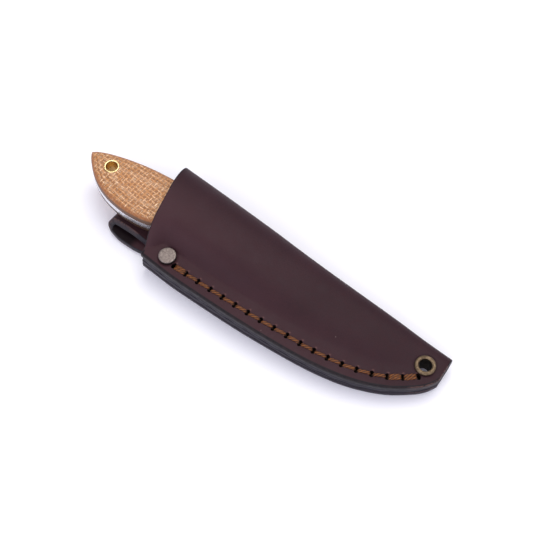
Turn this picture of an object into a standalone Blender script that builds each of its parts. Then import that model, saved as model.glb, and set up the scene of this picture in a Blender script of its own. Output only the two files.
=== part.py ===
"""Whittling knife with a full tang, seated in its folded leather pouch sheath.

Design axes, in millimetres: x runs along the sheath from the fold's mouth corner
to the tip, y is 0 at the fold and negative towards the sewn seam, z is the height
over the outer face of the back panel.  Every part hangs on the empty
"sheath_frame", which tilts the design so that it rests on its belt loop and its
eyelet, and centres it over the world's origin.
"""
import math

import bmesh
import bpy
import numpy as np
from mathutils import Matrix, Vector

MM = 0.001
CUT_REACH = 20.0

# Leather
LEATHER = 2.8
WELT_FRONT = 2.5
STACK_MOUTH = 10.7
STACK_TIP = 8.1
STACK_TAPER_FROM = 60.0
FACE_GAP = 0.05
FOLD_LENGTH = 141.6
SEAM_OUTLINE = [(12.8, 44.6), (28.8, 44.9), (45.0, 44.2), (62.0, 43.2), (80.0, 41.4), (96.0, 39.2),
                (110.0, 36.0), (120.4, 32.0), (129.0, 27.2), (136.5, 21.0), (140.4, 16.6), (142.6, 12.0)]
TOP_HEIGHT = [(0.0, 19.3), (20.0, 18.5), (35.0, 17.5), (50.0, 16.2), (62.0, 14.4), (75.0, 12.9),
              (90.0, 11.9), (105.0, 11.1), (116.0, 10.2), (124.0, 9.1), (130.0, 8.45), (142.0, 8.1)]
CREST_MOUTH = 16.0
CREST_TIP = 4.6
BACK_FOLD_MOUTH = 10.0
BACK_FOLD_TIP = 4.6
TIP_NARROWING = 1.3
CREST_MARGIN = 1.5
CREST_BREADTH = 3.2
MOUTH_FLAT = 4.0
SEAM_FLAT = 10.0
SEAM_FLAT_RAMP = 6.0
TIP_CROWDING = 1.25
STATIONS = 20
FRONT_STEPS = 11
FOLD_STEPS = 4

# Belt loop: the back panel's tongue, folded under and riveted
TONGUE_NEAR = 36.4
TONGUE_FAR = 12.6
LOOP_END = -9.9
LOOP_RADIUS = 1.95
LEG_LEVEL = -1.6
LEG_END = 38.0
LOOP_CURL = 0.7
LOOP_START = [(6.0, 1.75, 36.4), (0.0, 2.25, 36.4), (-5.5, 2.25, 36.7)]
LOOP_RETURN = [(-5.5, -2.2, 39.8), (-1.0, -2.2, 39.8), (5.0, -1.95, 39.3), (11.0, -1.6, 37.6),
               (17.0, -1.6, 34.4), (38.0, -1.6, 34.4)]
LOOP_BEND_STEPS = 6
LOOP_BEND_CENTRE = -0.05
LOOP_BEND_NEAR = (37.0, 39.4)
LOOP_RUN_OUT = 8.5
LOOP_RIVETS = [(29.0, 17.0), (29.0, 30.0)]
LOOP_RIVET_RADIUS = 3.2
LOOP_SEAT_DEPTH = 0.95
LOOP_RIVET_HEAD = 0.35
LOOP_RIVET_BEVEL = 0.3
LOOP_RIVET_FOOT = 0.4
LOOP_RIVET_RECESS = 0.05

# Seam
SEAM_INSET = [(27.0, 4.7), (85.0, 5.5), (136.0, 4.4)]
STITCH_START = 27.0
STITCH_END = 135.2
STITCHES = 18
THREAD_RADIUS = 0.6
THREAD_OFFSET = 0.72
HOLE_LENGTH = 3.0
HOLE_WIDTH = 1.5
THREAD_LIFT = 0.15
WELT_WIDTH = 10.5
WELT_SETBACK = 0.3
WELT_MIN = 0.5
WELT_TIP_FROM = 124.0
WELT_TIP_INNER = [(121.5, 19.5), (127.5, 5.4)]
WELT_TIP_END = [((142.0, 9.0), (131.0, 5.4)), ((141.8, 6.0), (135.0, 5.4))]

# Seam rivet, eyelet and their holes
SEAM_RIVET = (22.6, 38.7)
RIVET_CAP_RADIUS = 3.8
RIVET_CAP_HEIGHT = 1.5
RIVET_CAP_RIM = 0.5
RIVET_CAP_BEVEL = 0.8
RIVET_CAP_CROWN = 0.1
RIVET_GRIP = 0.6
RIVET_HEAD_BEVEL = 0.4
RIVET_SIDES = 20
RING_SIDES = 28
RIVET_POST_RADIUS = 1.4
RIVET_HEAD_HEIGHT = 1.1
RIVET_PROUD = 0.2
RUNNING_GAP = 0.08
EYELET = (134.7, 10.5)
EYELET_RADIUS = 4.4
EYELET_BORE = 3.05
EYELET_BARREL = 3.5
EYELET_CREST_RADIUS = 3.7
EYELET_CREST = 0.9
EYELET_SHOULDER = 0.35
EYELET_MOUTH = 0.5
EYELET_LIP = 1.4
EYELET_LIP_REACH = 0.6
EYELET_LIP_EDGE = 0.3
EYELET_PROUD = 0.3
WASHER_THICKNESS = 0.6

# Knife
KNIFE_HEIGHT = 10.0
KNIFE_SLOPE = 0.034
TANG = 3.2
SCALE_THICKNESS = 4.3
SCALE_FRONT_THICKNESS = 3.0
SCALE_TAPER_FROM = 5.0
HANDLE_FRONT = 52.0
SCALE_ROUND = 2.0
SCALE_ROUND_DEPTH = 2.7
SCALE_EDGE = [(0.0, 1.0), (0.15, 0.5), (0.5, 0.15), (1.0, 0.0)]
SCALE_GAP = 0.03
HANDLE_BELLY = [(-35.8, 21.8), (-34.6, 23.6), (-32.4, 25.8), (-28.0, 29.2), (-22.4, 32.2), (-16.5, 34.0),
                (-11.6, 34.7), (-6.0, 34.9), (0.8, 34.1), (6.5, 32.6), (10.5, 30.4), (15.0, 28.0),
                (20.0, 26.4), (28.0, 25.7), (38.0, 25.8), (46.0, 26.5), (52.0, 26.2)]
HANDLE_SPINE = [(52.0, 8.6), (40.0, 8.5), (25.0, 8.4), (12.0, 8.6), (2.4, 9.4), (-5.3, 10.5),
                (-12.1, 11.9), (-19.8, 14.0), (-26.8, 16.5), (-31.3, 18.5), (-34.2, 20.2)]
BLADE_EDGE = [(56.5, 27.4), (70.0, 27.6), (84.0, 27.0), (95.0, 25.6), (104.0, 23.0), (111.0, 19.8),
              (116.0, 16.6), (118.5, 14.8)]
BLADE_SPINE = [(112.0, 11.4), (105.0, 9.6), (97.0, 8.7), (85.0, 8.5), (62.0, 8.5)]
GRIND = 6.5
GRIND_FADE = 16.0
RICASSO = [(53.4, 25.6), (55.4, 25.6)]
TIP_TAPER = 20.0
TIP_THICKNESS = 0.5
EDGE_THICKNESS = 0.3
LANYARD = (-23.3, 22.4)
TUBE_RADIUS = 3.2
TUBE_BORE = 2.5
TUBE_BEVEL = 0.15
TUBE_FLARE = 0.3
TUBE_PROUD = 0.1
PIN_RADIUS = 2.4
PIN_RECESS = 0.15
PINS = {"handle_pin_rear": (15.0, 21.6), "handle_pin_front": (41.0, 20.0)}


def clear_scene():
    for obj in list(bpy.data.objects):
        bpy.data.objects.remove(obj, do_unlink=True)


def new_collection(name):
    collection = bpy.data.collections.new(name)
    bpy.context.scene.collection.children.link(collection)
    return collection


def make_material(name, color, roughness, metallic=0.0):
    material = bpy.data.materials.new(name)
    material.use_nodes = True
    shader = material.node_tree.nodes["Principled BSDF"]
    shader.inputs["Base Color"].default_value = (*color, 1.0)
    shader.inputs["Roughness"].default_value = roughness
    shader.inputs["Metallic"].default_value = metallic
    return material


def add_object(name, bm, collection, parent, material=None, smooth=True):
    """Turn a bmesh in millimetres into a named object in metres."""
    bmesh.ops.recalc_face_normals(bm, faces=bm.faces)
    bmesh.ops.scale(bm, vec=(MM, MM, MM), verts=bm.verts)
    mesh = bpy.data.meshes.new(name)
    bm.to_mesh(mesh)
    bm.free()
    if smooth:
        mesh.shade_smooth()
        mesh.set_sharp_from_angle(angle=math.radians(35))
    obj = bpy.data.objects.new(name, mesh)
    obj.parent = parent
    if material is not None:
        obj.data.materials.append(material)
    collection.objects.link(obj)
    return obj


def add_cutter(name, bm, collection, parent):
    cutter = add_object(name, bm, collection, parent, smooth=False)
    cutter.hide_render = True
    cutter.display_type = 'WIRE'
    return cutter


def cut(obj, cutter):
    modifier = obj.modifiers.new("cut_" + cutter.name, 'BOOLEAN')
    modifier.operation = 'DIFFERENCE'
    modifier.solver = 'EXACT'
    modifier.object = cutter


def add_cylinder(bm, x, y, z_low, z_high, radius, segments=24, turn=0.0):
    place = Matrix.Translation((x, y, (z_low + z_high) / 2)) @ Matrix.Rotation(turn, 4, 'Z')
    bmesh.ops.create_cone(bm, cap_ends=True, segments=segments, radius1=radius, radius2=radius,
                          depth=z_high - z_low, matrix=place)


def add_turned(name, profile, segments, collection, parent, material, spot):
    """Turn a closed profile of (radius, z) points, outer side first from the top, about Z."""
    mesh = bpy.data.meshes.new(name)
    points = [(r * MM, 0.0, z * MM) for r, z in profile]
    count = len(points)
    edges = [(i, (i + 1) % count) for i in range(count)]
    if profile[0][0] == 0.0 and profile[-1][0] == 0.0:
        edges.pop()
    mesh.from_pydata(points, edges, [])
    mesh.materials.append(material)
    obj = bpy.data.objects.new(name, mesh)
    obj.parent = parent
    obj.location = Vector(spot) * MM
    collection.objects.link(obj)
    screw = obj.modifiers.new("turn", 'SCREW')
    screw.steps = segments
    screw.render_steps = segments
    screw.use_merge_vertices = True
    screw.merge_threshold = 0.00001
    screw.use_smooth_shade = True
    return obj


def smooth_curve(points, steps_per_span):
    """Points along a Catmull-Rom curve through the given ones."""
    pts = [Vector(p) for p in points]
    ends = [2 * pts[0] - pts[1]] + pts + [2 * pts[-1] - pts[-2]]
    result = []
    for a, b, c, d in zip(ends, ends[1:], ends[2:], ends[3:]):
        for step in range(steps_per_span):
            t = step / steps_per_span
            result.append(0.5 * (2 * b + (c - a) * t + (2 * a - 5 * b + 4 * c - d) * t * t
                                 + (3 * b - a - 3 * c + d) * t ** 3))
    result.append(pts[-1])
    return result


def read_curve(points, x):
    return float(np.interp(x, [p[0] for p in points], [p[1] for p in points]))


OUTLINE = smooth_curve(SEAM_OUTLINE, 6)
CROWN = smooth_curve(TOP_HEIGHT, 4)


def seam_depth(x):
    return read_curve(OUTLINE, x)


def stack_height(x):
    share = max(0.0, (x - STACK_TAPER_FROM) / (FOLD_LENGTH - STACK_TAPER_FROM))
    return STACK_MOUTH + (STACK_TIP - STACK_MOUTH) * min(1.0, share)


def mix(a, b, share):
    return a + (b - a) * share


def smoothstep(t):
    t = min(1.0, max(0.0, t))
    return t * t * (3 - 2 * t)


# ---- sheath leather ----

def section(share):
    """Middle surface of the leather across one station, from the front seam round to the back seam."""
    half = LEATHER / 2
    x_fold = FOLD_LENGTH * share
    x_seam = mix(SEAM_OUTLINE[0][0], SEAM_OUTLINE[-1][0], share)
    depth = seam_depth(x_seam)
    top = read_curve(CROWN, x_fold) - half
    crest = mix(CREST_MOUTH, CREST_TIP, share ** TIP_NARROWING)
    back_fold = mix(BACK_FOLD_MOUTH, BACK_FOLD_TIP, share ** TIP_NARROWING)
    flat = mix(MOUTH_FLAT, SEAM_FLAT, smoothstep((x_seam - SEAM_OUTLINE[0][0]) / SEAM_FLAT_RAMP))
    flat_from = max(crest + CREST_MARGIN, depth - flat)
    middle = (top + half) / 2
    points = []
    for step in range(FRONT_STEPS):
        v = mix(depth, crest, step / FRONT_STEPS)
        stack = stack_height(x_fold + (x_seam - x_fold) * v / depth) - half
        drop = smoothstep(((v - crest) / (flat_from - crest)) ** CREST_BREADTH)
        points.append((v, mix(top, stack, drop)))
    for step in range(2 * FOLD_STEPS):
        angle = math.pi / 2 * (1 + step / FOLD_STEPS)
        upper = step < FOLD_STEPS
        reach = crest if upper else back_fold
        rise = (top - middle) if upper else (middle - half)
        points.append((reach + (reach - half) * math.cos(angle), middle + rise * math.sin(angle)))
    tongue_near = (TONGUE_NEAR - BACK_FOLD_MOUTH) / (SEAM_OUTLINE[0][1] - BACK_FOLD_MOUTH)
    tongue_far = (TONGUE_FAR - BACK_FOLD_MOUTH) / (SEAM_OUTLINE[0][1] - BACK_FOLD_MOUTH)
    for place in (0.0, tongue_far, mix(tongue_far, tongue_near, 1 / 3), mix(tongue_far, tongue_near, 2 / 3),
                  tongue_near, 1.0):
        points.append((mix(back_fold, depth, place), half))
    return [(x_fold + (x_seam - x_fold) * v / depth, -v, z) for v, z in points]


def loop_path():
    """Middle line of the belt loop beyond the mouth: (x, z, depth of its near edge)."""
    bend = []
    for step in range(LOOP_BEND_STEPS + 1):
        share = step / LOOP_BEND_STEPS
        angle = math.pi * (0.5 + share)
        x = LOOP_END + LOOP_RADIUS * math.cos(angle)
        z = LOOP_BEND_CENTRE + LOOP_RADIUS * math.sin(angle)
        bend.append((x, z, mix(*LOOP_BEND_NEAR, share)))
    return LOOP_START + bend + LOOP_RETURN


def sheath_leather():
    """One piece of leather: front panel, fold, back panel and the tongue of the belt loop."""
    bm = bmesh.new()
    rows = []
    for i in range(STATIONS + 1):
        share = 1 - (1 - i / STATIONS) ** TIP_CROWDING
        rows.append([bm.verts.new(p) for p in section(share)])
    for low, high in zip(rows, rows[1:]):
        for j in range(len(low) - 1):
            bm.faces.new((low[j], low[j + 1], high[j + 1], high[j]))
    count = len(rows[0])
    columns = list(range(count - 5, count - 1))
    previous = [rows[0][j] for j in columns]
    mouth = [vert.co.copy() for vert in previous]
    path = loop_path()
    for k, (x, z, near) in enumerate(path):
        settle = smoothstep((k + 1) / 3)
        curl = LOOP_CURL * math.sin(math.pi * min(1.0, (k + 1) / 6))
        current = []
        for start in mouth:
            far = (-start.y - TONGUE_FAR) / (TONGUE_NEAR - TONGUE_FAR)
            x_here = max(mix(start.x - LOOP_RUN_OUT, 0.0, settle) + x, LOOP_END - LOOP_RADIUS)
            v = mix(TONGUE_FAR, near, far)
            current.append(bm.verts.new((x_here, -v, z + curl * far ** 8)))
        for j in range(len(columns) - 1):
            bm.faces.new((previous[j + 1], previous[j], current[j], current[j + 1]))
        previous = current
    bmesh.ops.recalc_face_normals(bm, faces=bm.faces)
    return bm


def build_sheath(parts, frame, material):
    sheath = add_object("sheath_leather", sheath_leather(), parts, frame, material)
    solid = sheath.modifiers.new("thickness", 'SOLIDIFY')
    solid.thickness = LEATHER * MM
    solid.offset = 0.0
    solid.use_even_offset = True
    return sheath


def outline_inset(points, depth_at):
    """Points set back from a curve towards its inner side, by a depth read at each x."""
    result = []
    for i, point in enumerate(points):
        along = (points[min(i + 1, len(points) - 1)] - points[max(i - 1, 0)]).normalized()
        result.append(point + Vector((along.y, -along.x)) * depth_at(point.x))
    return result


def welt_rails():
    """Outer and inner edge of the welt, which fills the seam and the whole tip."""
    fine = smooth_curve(SEAM_OUTLINE, 2)
    inner = outline_inset(fine, lambda x: WELT_WIDTH)
    first, last = WELT_TIP_INNER
    span = SEAM_OUTLINE[-3][0] - WELT_TIP_FROM
    for i, point in enumerate(fine):
        if inner[i].x > first[0]:
            share = smoothstep((point.x - WELT_TIP_FROM) / span)
            inner[i] = Vector((mix(first[0], last[0], share), mix(first[1], last[1], share)))
    outer = [Vector((p.x, p.y - WELT_SETBACK)) for p in fine]
    for far, near in WELT_TIP_END:
        outer.append(Vector(far))
        inner.append(Vector(near))
    return outer, inner


def welt_strip(bottom, top):
    """A strip between the panels; bottom and top give its faces' heights along x."""
    outer, inner = welt_rails()
    bm = bmesh.new()
    rings = []
    for far, near in zip(outer, inner):
        corners = [(far, bottom), (far, top), (near, top), (near, bottom)]
        rings.append([bm.verts.new((p.x, -p.y, height(p.x))) for p, height in corners])
    for low, high in zip(rings, rings[1:]):
        for j in range(4):
            bm.faces.new((low[j], low[(j + 1) % 4], high[(j + 1) % 4], high[j]))
    bm.faces.new(rings[0])
    bm.faces.new(list(reversed(rings[-1])))
    return bm


def build_welts(parts, frame, material):
    def split(x):
        return max(LEATHER + FACE_GAP + WELT_MIN, stack_height(x) - LEATHER - FACE_GAP - WELT_FRONT)

    back = add_object("welt_back", welt_strip(lambda x: LEATHER + FACE_GAP, split),
                      parts, frame, material)
    front = add_object("welt_front", welt_strip(lambda x: split(x) + FACE_GAP,
                                                lambda x: stack_height(x) - LEATHER - FACE_GAP),
                       parts, frame, material)
    return [back, front]


# ---- seam ----

def stitch_places():
    """Hole centres with the seam's direction, evenly spaced along the inset outline."""
    line = outline_inset(OUTLINE, lambda x: read_curve(SEAM_INSET, x))
    line = [p for p in line if p.x >= STITCH_START]
    lengths = [0.0]
    for a, b in zip(line, line[1:]):
        lengths.append(lengths[-1] + (b - a).length)
    total = float(np.interp(STITCH_END, [p.x for p in line], lengths))
    holes = []
    for i in range(STITCHES + 1):
        reach = total * i / STITCHES
        x = float(np.interp(reach, lengths, [p.x for p in line]))
        y = float(np.interp(reach, lengths, [p.y for p in line]))
        ahead = float(np.interp(reach + 0.5, lengths, [p.y for p in line])) - y
        ahead_x = float(np.interp(reach + 0.5, lengths, [p.x for p in line])) - x
        holes.append((x, -y, math.atan2(-ahead, ahead_x)))
    return holes


def stitch_cutter(collection, frame):
    bm = bmesh.new()
    for x, y, turn in stitch_places():
        place = Matrix.Translation((x, y, 0.0)) @ Matrix.Rotation(turn, 4, 'Z')
        place = place @ Matrix.Diagonal((HOLE_WIDTH, HOLE_LENGTH, 2 * CUT_REACH, 1.0))
        bmesh.ops.create_cube(bm, size=1.0, matrix=place)
    return add_cutter("stitch_holes", bm, collection, frame)


def thread_points(phase):
    """One strand of the saddle stitch: over on every second stitch, under on the others."""
    points = []
    holes = stitch_places()
    for i, (x, y, turn) in enumerate(holes):
        across = Vector((-math.sin(turn), math.cos(turn), 0.0))
        leaves_front = (i + phase) % 2 == 0
        side = THREAD_OFFSET if leaves_front else -THREAD_OFFSET
        spot = Vector((x, y, 0.0)) + across * side
        above = Vector((spot.x, spot.y, stack_height(x) + THREAD_RADIUS + THREAD_LIFT))
        below = Vector((spot.x, spot.y, -THREAD_RADIUS - THREAD_LIFT))
        points += [below, above] if leaves_front else [above, below]
    return points


def build_thread(name, phase, parts, frame, material):
    curve = bpy.data.curves.new(name, 'CURVE')
    curve.dimensions = '3D'
    curve.bevel_depth = THREAD_RADIUS * MM
    curve.bevel_resolution = 1
    curve.use_fill_caps = True
    points = thread_points(phase)
    spline = curve.splines.new('POLY')
    spline.points.add(len(points) - 1)
    for target, point in zip(spline.points, points):
        target.co = (*(point * MM), 1.0)
    curve.materials.append(material)
    thread = bpy.data.objects.new(name, curve)
    thread.parent = frame
    parts.objects.link(thread)


def rivet(prefix, spot, low, high, parts, frame, material):
    """A tubular rivet: the post with its head at the back, the cap pressed on at the front."""
    x, v = spot
    post_top = high + RIVET_CAP_HEIGHT * RIVET_GRIP
    post = [(0.0, post_top), (RIVET_POST_RADIUS, post_top), (RIVET_POST_RADIUS, low - FACE_GAP),
            (RIVET_CAP_RADIUS, low - FACE_GAP),
            (RIVET_CAP_RADIUS - RIVET_HEAD_BEVEL, low - RIVET_HEAD_HEIGHT), (0.0, low - RIVET_HEAD_HEIGHT)]
    add_turned(prefix + "_post", post, RIVET_SIDES, parts, frame, material, (x, -v, 0.0))
    socket = RIVET_POST_RADIUS + RUNNING_GAP
    under = high + RIVET_PROUD
    top = under + RIVET_CAP_HEIGHT
    cap = [(0.0, top), (RIVET_CAP_RADIUS - RIVET_CAP_BEVEL, top - RIVET_CAP_CROWN),
           (RIVET_CAP_RADIUS, under + RIVET_CAP_RIM), (RIVET_CAP_RADIUS, under), (socket, under),
           (socket, post_top + RUNNING_GAP), (0.0, post_top + RUNNING_GAP)]
    add_turned(prefix + "_cap", cap, RIVET_SIDES, parts, frame, material, (x, -v, 0.0))


def build_eyelet(parts, frame, material):
    """The eyelet's flange sits on the front, its barrel is set over a washer at the back."""
    x, v = EYELET
    face = stack_height(x) + EYELET_PROUD
    crown = face + EYELET_CREST
    seat = -WASHER_THICKNESS - FACE_GAP * 3
    ring = [(EYELET_CREST_RADIUS, crown), (EYELET_RADIUS - RIVET_CAP_CROWN, crown - EYELET_SHOULDER),
            (EYELET_RADIUS, face), (EYELET_BARREL, face), (EYELET_BARREL, seat),
            (EYELET_BARREL + EYELET_LIP_REACH, seat), (EYELET_BARREL + EYELET_LIP_REACH, -EYELET_LIP),
            (EYELET_BORE + EYELET_LIP_EDGE, -EYELET_LIP), (EYELET_BORE, EYELET_LIP_EDGE - EYELET_LIP),
            (EYELET_BORE, crown - EYELET_MOUTH)]
    add_turned("eyelet", ring, RING_SIDES, parts, frame, material, (x, -v, 0.0))
    top = -FACE_GAP
    washer = [(EYELET_RADIUS, top), (EYELET_RADIUS, top - WASHER_THICKNESS),
              (EYELET_BARREL + RUNNING_GAP, top - WASHER_THICKNESS), (EYELET_BARREL + RUNNING_GAP, top)]
    add_turned("eyelet_washer", washer, RING_SIDES, parts, frame, material, (x, -v, 0.0))


def fastener_cutter(collection, frame):
    bm = bmesh.new()
    post_hole = RIVET_POST_RADIUS + RUNNING_GAP
    add_cylinder(bm, SEAM_RIVET[0], -SEAM_RIVET[1], -CUT_REACH, CUT_REACH, post_hole, RIVET_SIDES)
    add_cylinder(bm, EYELET[0], -EYELET[1], -CUT_REACH, CUT_REACH, EYELET_BARREL + RUNNING_GAP, RING_SIDES)
    return add_cutter("seam_fastener_holes", bm, collection, frame)


def loop_rivet_cutter(collection, frame):
    bm = bmesh.new()
    for x, v in LOOP_RIVETS:
        add_cylinder(bm, x, -v, -CUT_REACH, 2 * LEATHER, RIVET_POST_RADIUS + RUNNING_GAP, RIVET_SIDES)
    return add_cutter("loop_rivet_holes", bm, collection, frame)


def loop_seat_cutter(collection, frame):
    """Recesses that the flat rivet caps are pressed into, so that the leg lies flat."""
    bm = bmesh.new()
    low = LEG_LEVEL - LEATHER / 2
    for x, v in LOOP_RIVETS:
        add_cylinder(bm, x, -v, low - LEATHER, low + LOOP_SEAT_DEPTH,
                     LOOP_RIVET_RADIUS + RUNNING_GAP, RIVET_SIDES)
    return add_cutter("loop_rivet_seats", bm, collection, frame)


def build_loop_rivets(parts, frame, material):
    """Flat two-part rivets that hold the tongue's end to the back panel."""
    low = LEG_LEVEL - LEATHER / 2
    seat = low + LOOP_SEAT_DEPTH - FACE_GAP
    foot = low + LOOP_RIVET_FOOT
    face = low + LOOP_RIVET_RECESS
    inside = LEATHER + FACE_GAP
    socket = RIVET_POST_RADIUS + RUNNING_GAP
    edge = LOOP_RIVET_RADIUS - LOOP_RIVET_BEVEL
    post = [(0.0, inside + LOOP_RIVET_HEAD), (edge, inside + LOOP_RIVET_HEAD), (LOOP_RIVET_RADIUS, inside),
            (RIVET_POST_RADIUS, inside), (RIVET_POST_RADIUS, foot), (0.0, foot)]
    cap = [(0.0, foot - RUNNING_GAP), (socket, foot - RUNNING_GAP), (socket, seat), (LOOP_RIVET_RADIUS, seat),
           (LOOP_RIVET_RADIUS, face + LOOP_RIVET_BEVEL), (edge, face), (0.0, face)]
    for number, (x, v) in enumerate(LOOP_RIVETS, start=1):
        spot = (x, -v, 0.0)
        for piece, profile in (("post", post), ("cap", cap)):
            add_turned(f"loop_rivet_{number}_{piece}", profile, RIVET_SIDES, parts, frame, material, spot)


# ---- knife ----

def handle_outline():
    belly = smooth_curve(HANDLE_BELLY, 1)
    spine = smooth_curve(HANDLE_SPINE, 1)
    return belly + spine


def inset_loop(points, inset):
    """A closed outline moved inwards by the same distance all round."""
    count = len(points)
    area = sum(a.x * b.y - b.x * a.y for a, b in zip(points, points[1:] + points[:1]))
    sign = 1.0 if area > 0 else -1.0
    result = []
    for i, point in enumerate(points):
        before = (point - points[i - 1]).normalized()
        after = (points[(i + 1) % count] - point).normalized()
        normal = Vector((-(before.y + after.y), before.x + after.x)).normalized() * sign
        spread = max(0.6, normal.dot(Vector((-before.y, before.x)) * sign))
        result.append(point + normal * inset / spread)
    return result


def scale_thickness(x):
    share = (x - SCALE_TAPER_FROM) / (HANDLE_FRONT - SCALE_TAPER_FROM)
    return mix(SCALE_THICKNESS, SCALE_FRONT_THICKNESS, min(1.0, max(0.0, share)))


def scale_body(side):
    """A handle scale: the tang's outline, thinner towards the blade, its outer edge rounded."""
    base = handle_outline()
    low = TANG / 2 + SCALE_GAP
    bm = bmesh.new()
    rings = [[bm.verts.new((p.x, -p.y, side * low)) for p in base]]
    for inward, down in SCALE_EDGE:
        ring = []
        for point, plain in zip(inset_loop(base, SCALE_ROUND * inward), base):
            height = low + scale_thickness(plain.x) - SCALE_ROUND_DEPTH * down
            ring.append(bm.verts.new((point.x, -point.y, side * height)))
        rings.append(ring)
    for low_ring, high_ring in zip(rings, rings[1:]):
        for i in range(len(base)):
            j = (i + 1) % len(base)
            bm.faces.new((low_ring[i], low_ring[j], high_ring[j], high_ring[i]))
    bm.faces.new(rings[0])
    bm.faces.new(rings[-1])
    return bm


def blade_body():
    """Full tang and blade in one plate, ground from both sides down to the cutting edge."""
    edge = [Vector(p) for p in BLADE_EDGE]
    tip = edge[-1]
    inner = []
    for i, point in enumerate(edge[:-1]):
        along = (edge[i + 1] - edge[max(i - 1, 0)]).normalized()
        reach = GRIND * min(1.0, (tip - point).length / GRIND_FADE)
        inner.append(point + Vector((along.y, -along.x)) * reach)
    spine = [Vector(p) for p in BLADE_SPINE]
    handle = handle_outline()
    split = len(HANDLE_BELLY)
    belly = handle[:split]
    back = handle[split:]
    ricasso = [Vector(p) for p in RICASSO]
    bm = bmesh.new()

    def pair(point, half):
        return (bm.verts.new((point.x, -point.y, half)), bm.verts.new((point.x, -point.y, -half)))

    def tapered(point):
        return pair(point, half * mix(TIP_THICKNESS, 1.0, min(1.0, (tip - point).length / TIP_TAPER)))

    half = TANG / 2
    body = [pair(p, half) for p in belly + ricasso]
    grind = [tapered(p) for p in inner]
    tip_pair = pair(tip, EDGE_THICKNESS / 2)
    top = [tapered(p) for p in spine]
    tail = [pair(p, half) for p in back]
    sharp = [pair(p, EDGE_THICKNESS / 2) for p in edge[:-1]]
    for face in (0, 1):
        bm.faces.new([v[face] for v in body + grind + [tip_pair] + top + tail])
        strip = sharp + [tip_pair]
        inside = grind + [tip_pair]
        for i in range(len(sharp)):
            corners = [strip[i][face], strip[i + 1][face], inside[i + 1][face], inside[i][face]]
            bm.faces.new(list(dict.fromkeys(corners)))
    bm.faces.new((body[-1][0], body[-1][1], sharp[0][1], sharp[0][0]))
    bm.faces.new((body[-1][0], sharp[0][0], grind[0][0]))
    bm.faces.new((body[-1][1], grind[0][1], sharp[0][1]))
    rim = sharp + [tip_pair] + top + tail + [body[0]]
    for chain in (body, rim):
        for a, b in zip(chain, chain[1:]):
            bm.faces.new((a[0], a[1], b[1], b[0]))
    bmesh.ops.triangulate(bm, faces=bm.faces)
    return bm


def knife_cutter(name, radius_of_pin, radius_of_tube, collection, knife):
    bm = bmesh.new()
    for x, v in PINS.values():
        add_cylinder(bm, x, -v, -CUT_REACH, CUT_REACH, radius_of_pin, RIVET_SIDES)
    add_cylinder(bm, LANYARD[0], -LANYARD[1], -CUT_REACH, CUT_REACH, radius_of_tube, RING_SIDES)
    return add_cutter(name, bm, collection, knife)


def build_knife(parts, cutters, knife, steel, micarta, brass):
    holes = knife_cutter("handle_holes", PIN_RADIUS + RUNNING_GAP, TUBE_RADIUS + RUNNING_GAP, cutters, knife)
    blade = add_object("blade", blade_body(), parts, knife, steel)
    cut(blade, holes)
    for name, side in (("scale_front", 1), ("scale_back", -1)):
        scale = add_object(name, scale_body(side), parts, knife, micarta)
        cut(scale, holes)
    for name, (x, v) in PINS.items():
        length = TANG / 2 + scale_thickness(x) - PIN_RECESS
        pin = [(0.0, length), (PIN_RADIUS, length), (PIN_RADIUS, -length), (0.0, -length)]
        add_turned(name, pin, RIVET_SIDES, parts, knife, brass, (x, -v, 0.0))
    length = TANG / 2 + SCALE_THICKNESS + TUBE_PROUD
    shoulder = length - TUBE_BEVEL
    throat = length - TUBE_FLARE
    tube = [(TUBE_RADIUS - TUBE_BEVEL, length), (TUBE_RADIUS, shoulder), (TUBE_RADIUS, -shoulder),
            (TUBE_RADIUS - TUBE_BEVEL, -length), (TUBE_BORE + TUBE_FLARE, -length), (TUBE_BORE, -throat),
            (TUBE_BORE, throat), (TUBE_BORE + TUBE_FLARE, length)]
    add_turned("lanyard_tube", tube, RING_SIDES, parts, knife, brass, (LANYARD[0], -LANYARD[1], 0.0))


def world_bounds(objects):
    """Lowest and highest corner of the evaluated objects, in metres."""
    graph = bpy.context.evaluated_depsgraph_get()
    spots = []
    for obj in objects:
        shown = obj.evaluated_get(graph)
        mesh = shown.to_mesh()
        spots += [shown.matrix_world @ vert.co for vert in mesh.vertices]
        shown.to_mesh_clear()
    low = Vector([min(p[i] for p in spots) for i in range(3)])
    high = Vector([max(p[i] for p in spots) for i in range(3)])
    return low, high


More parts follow.
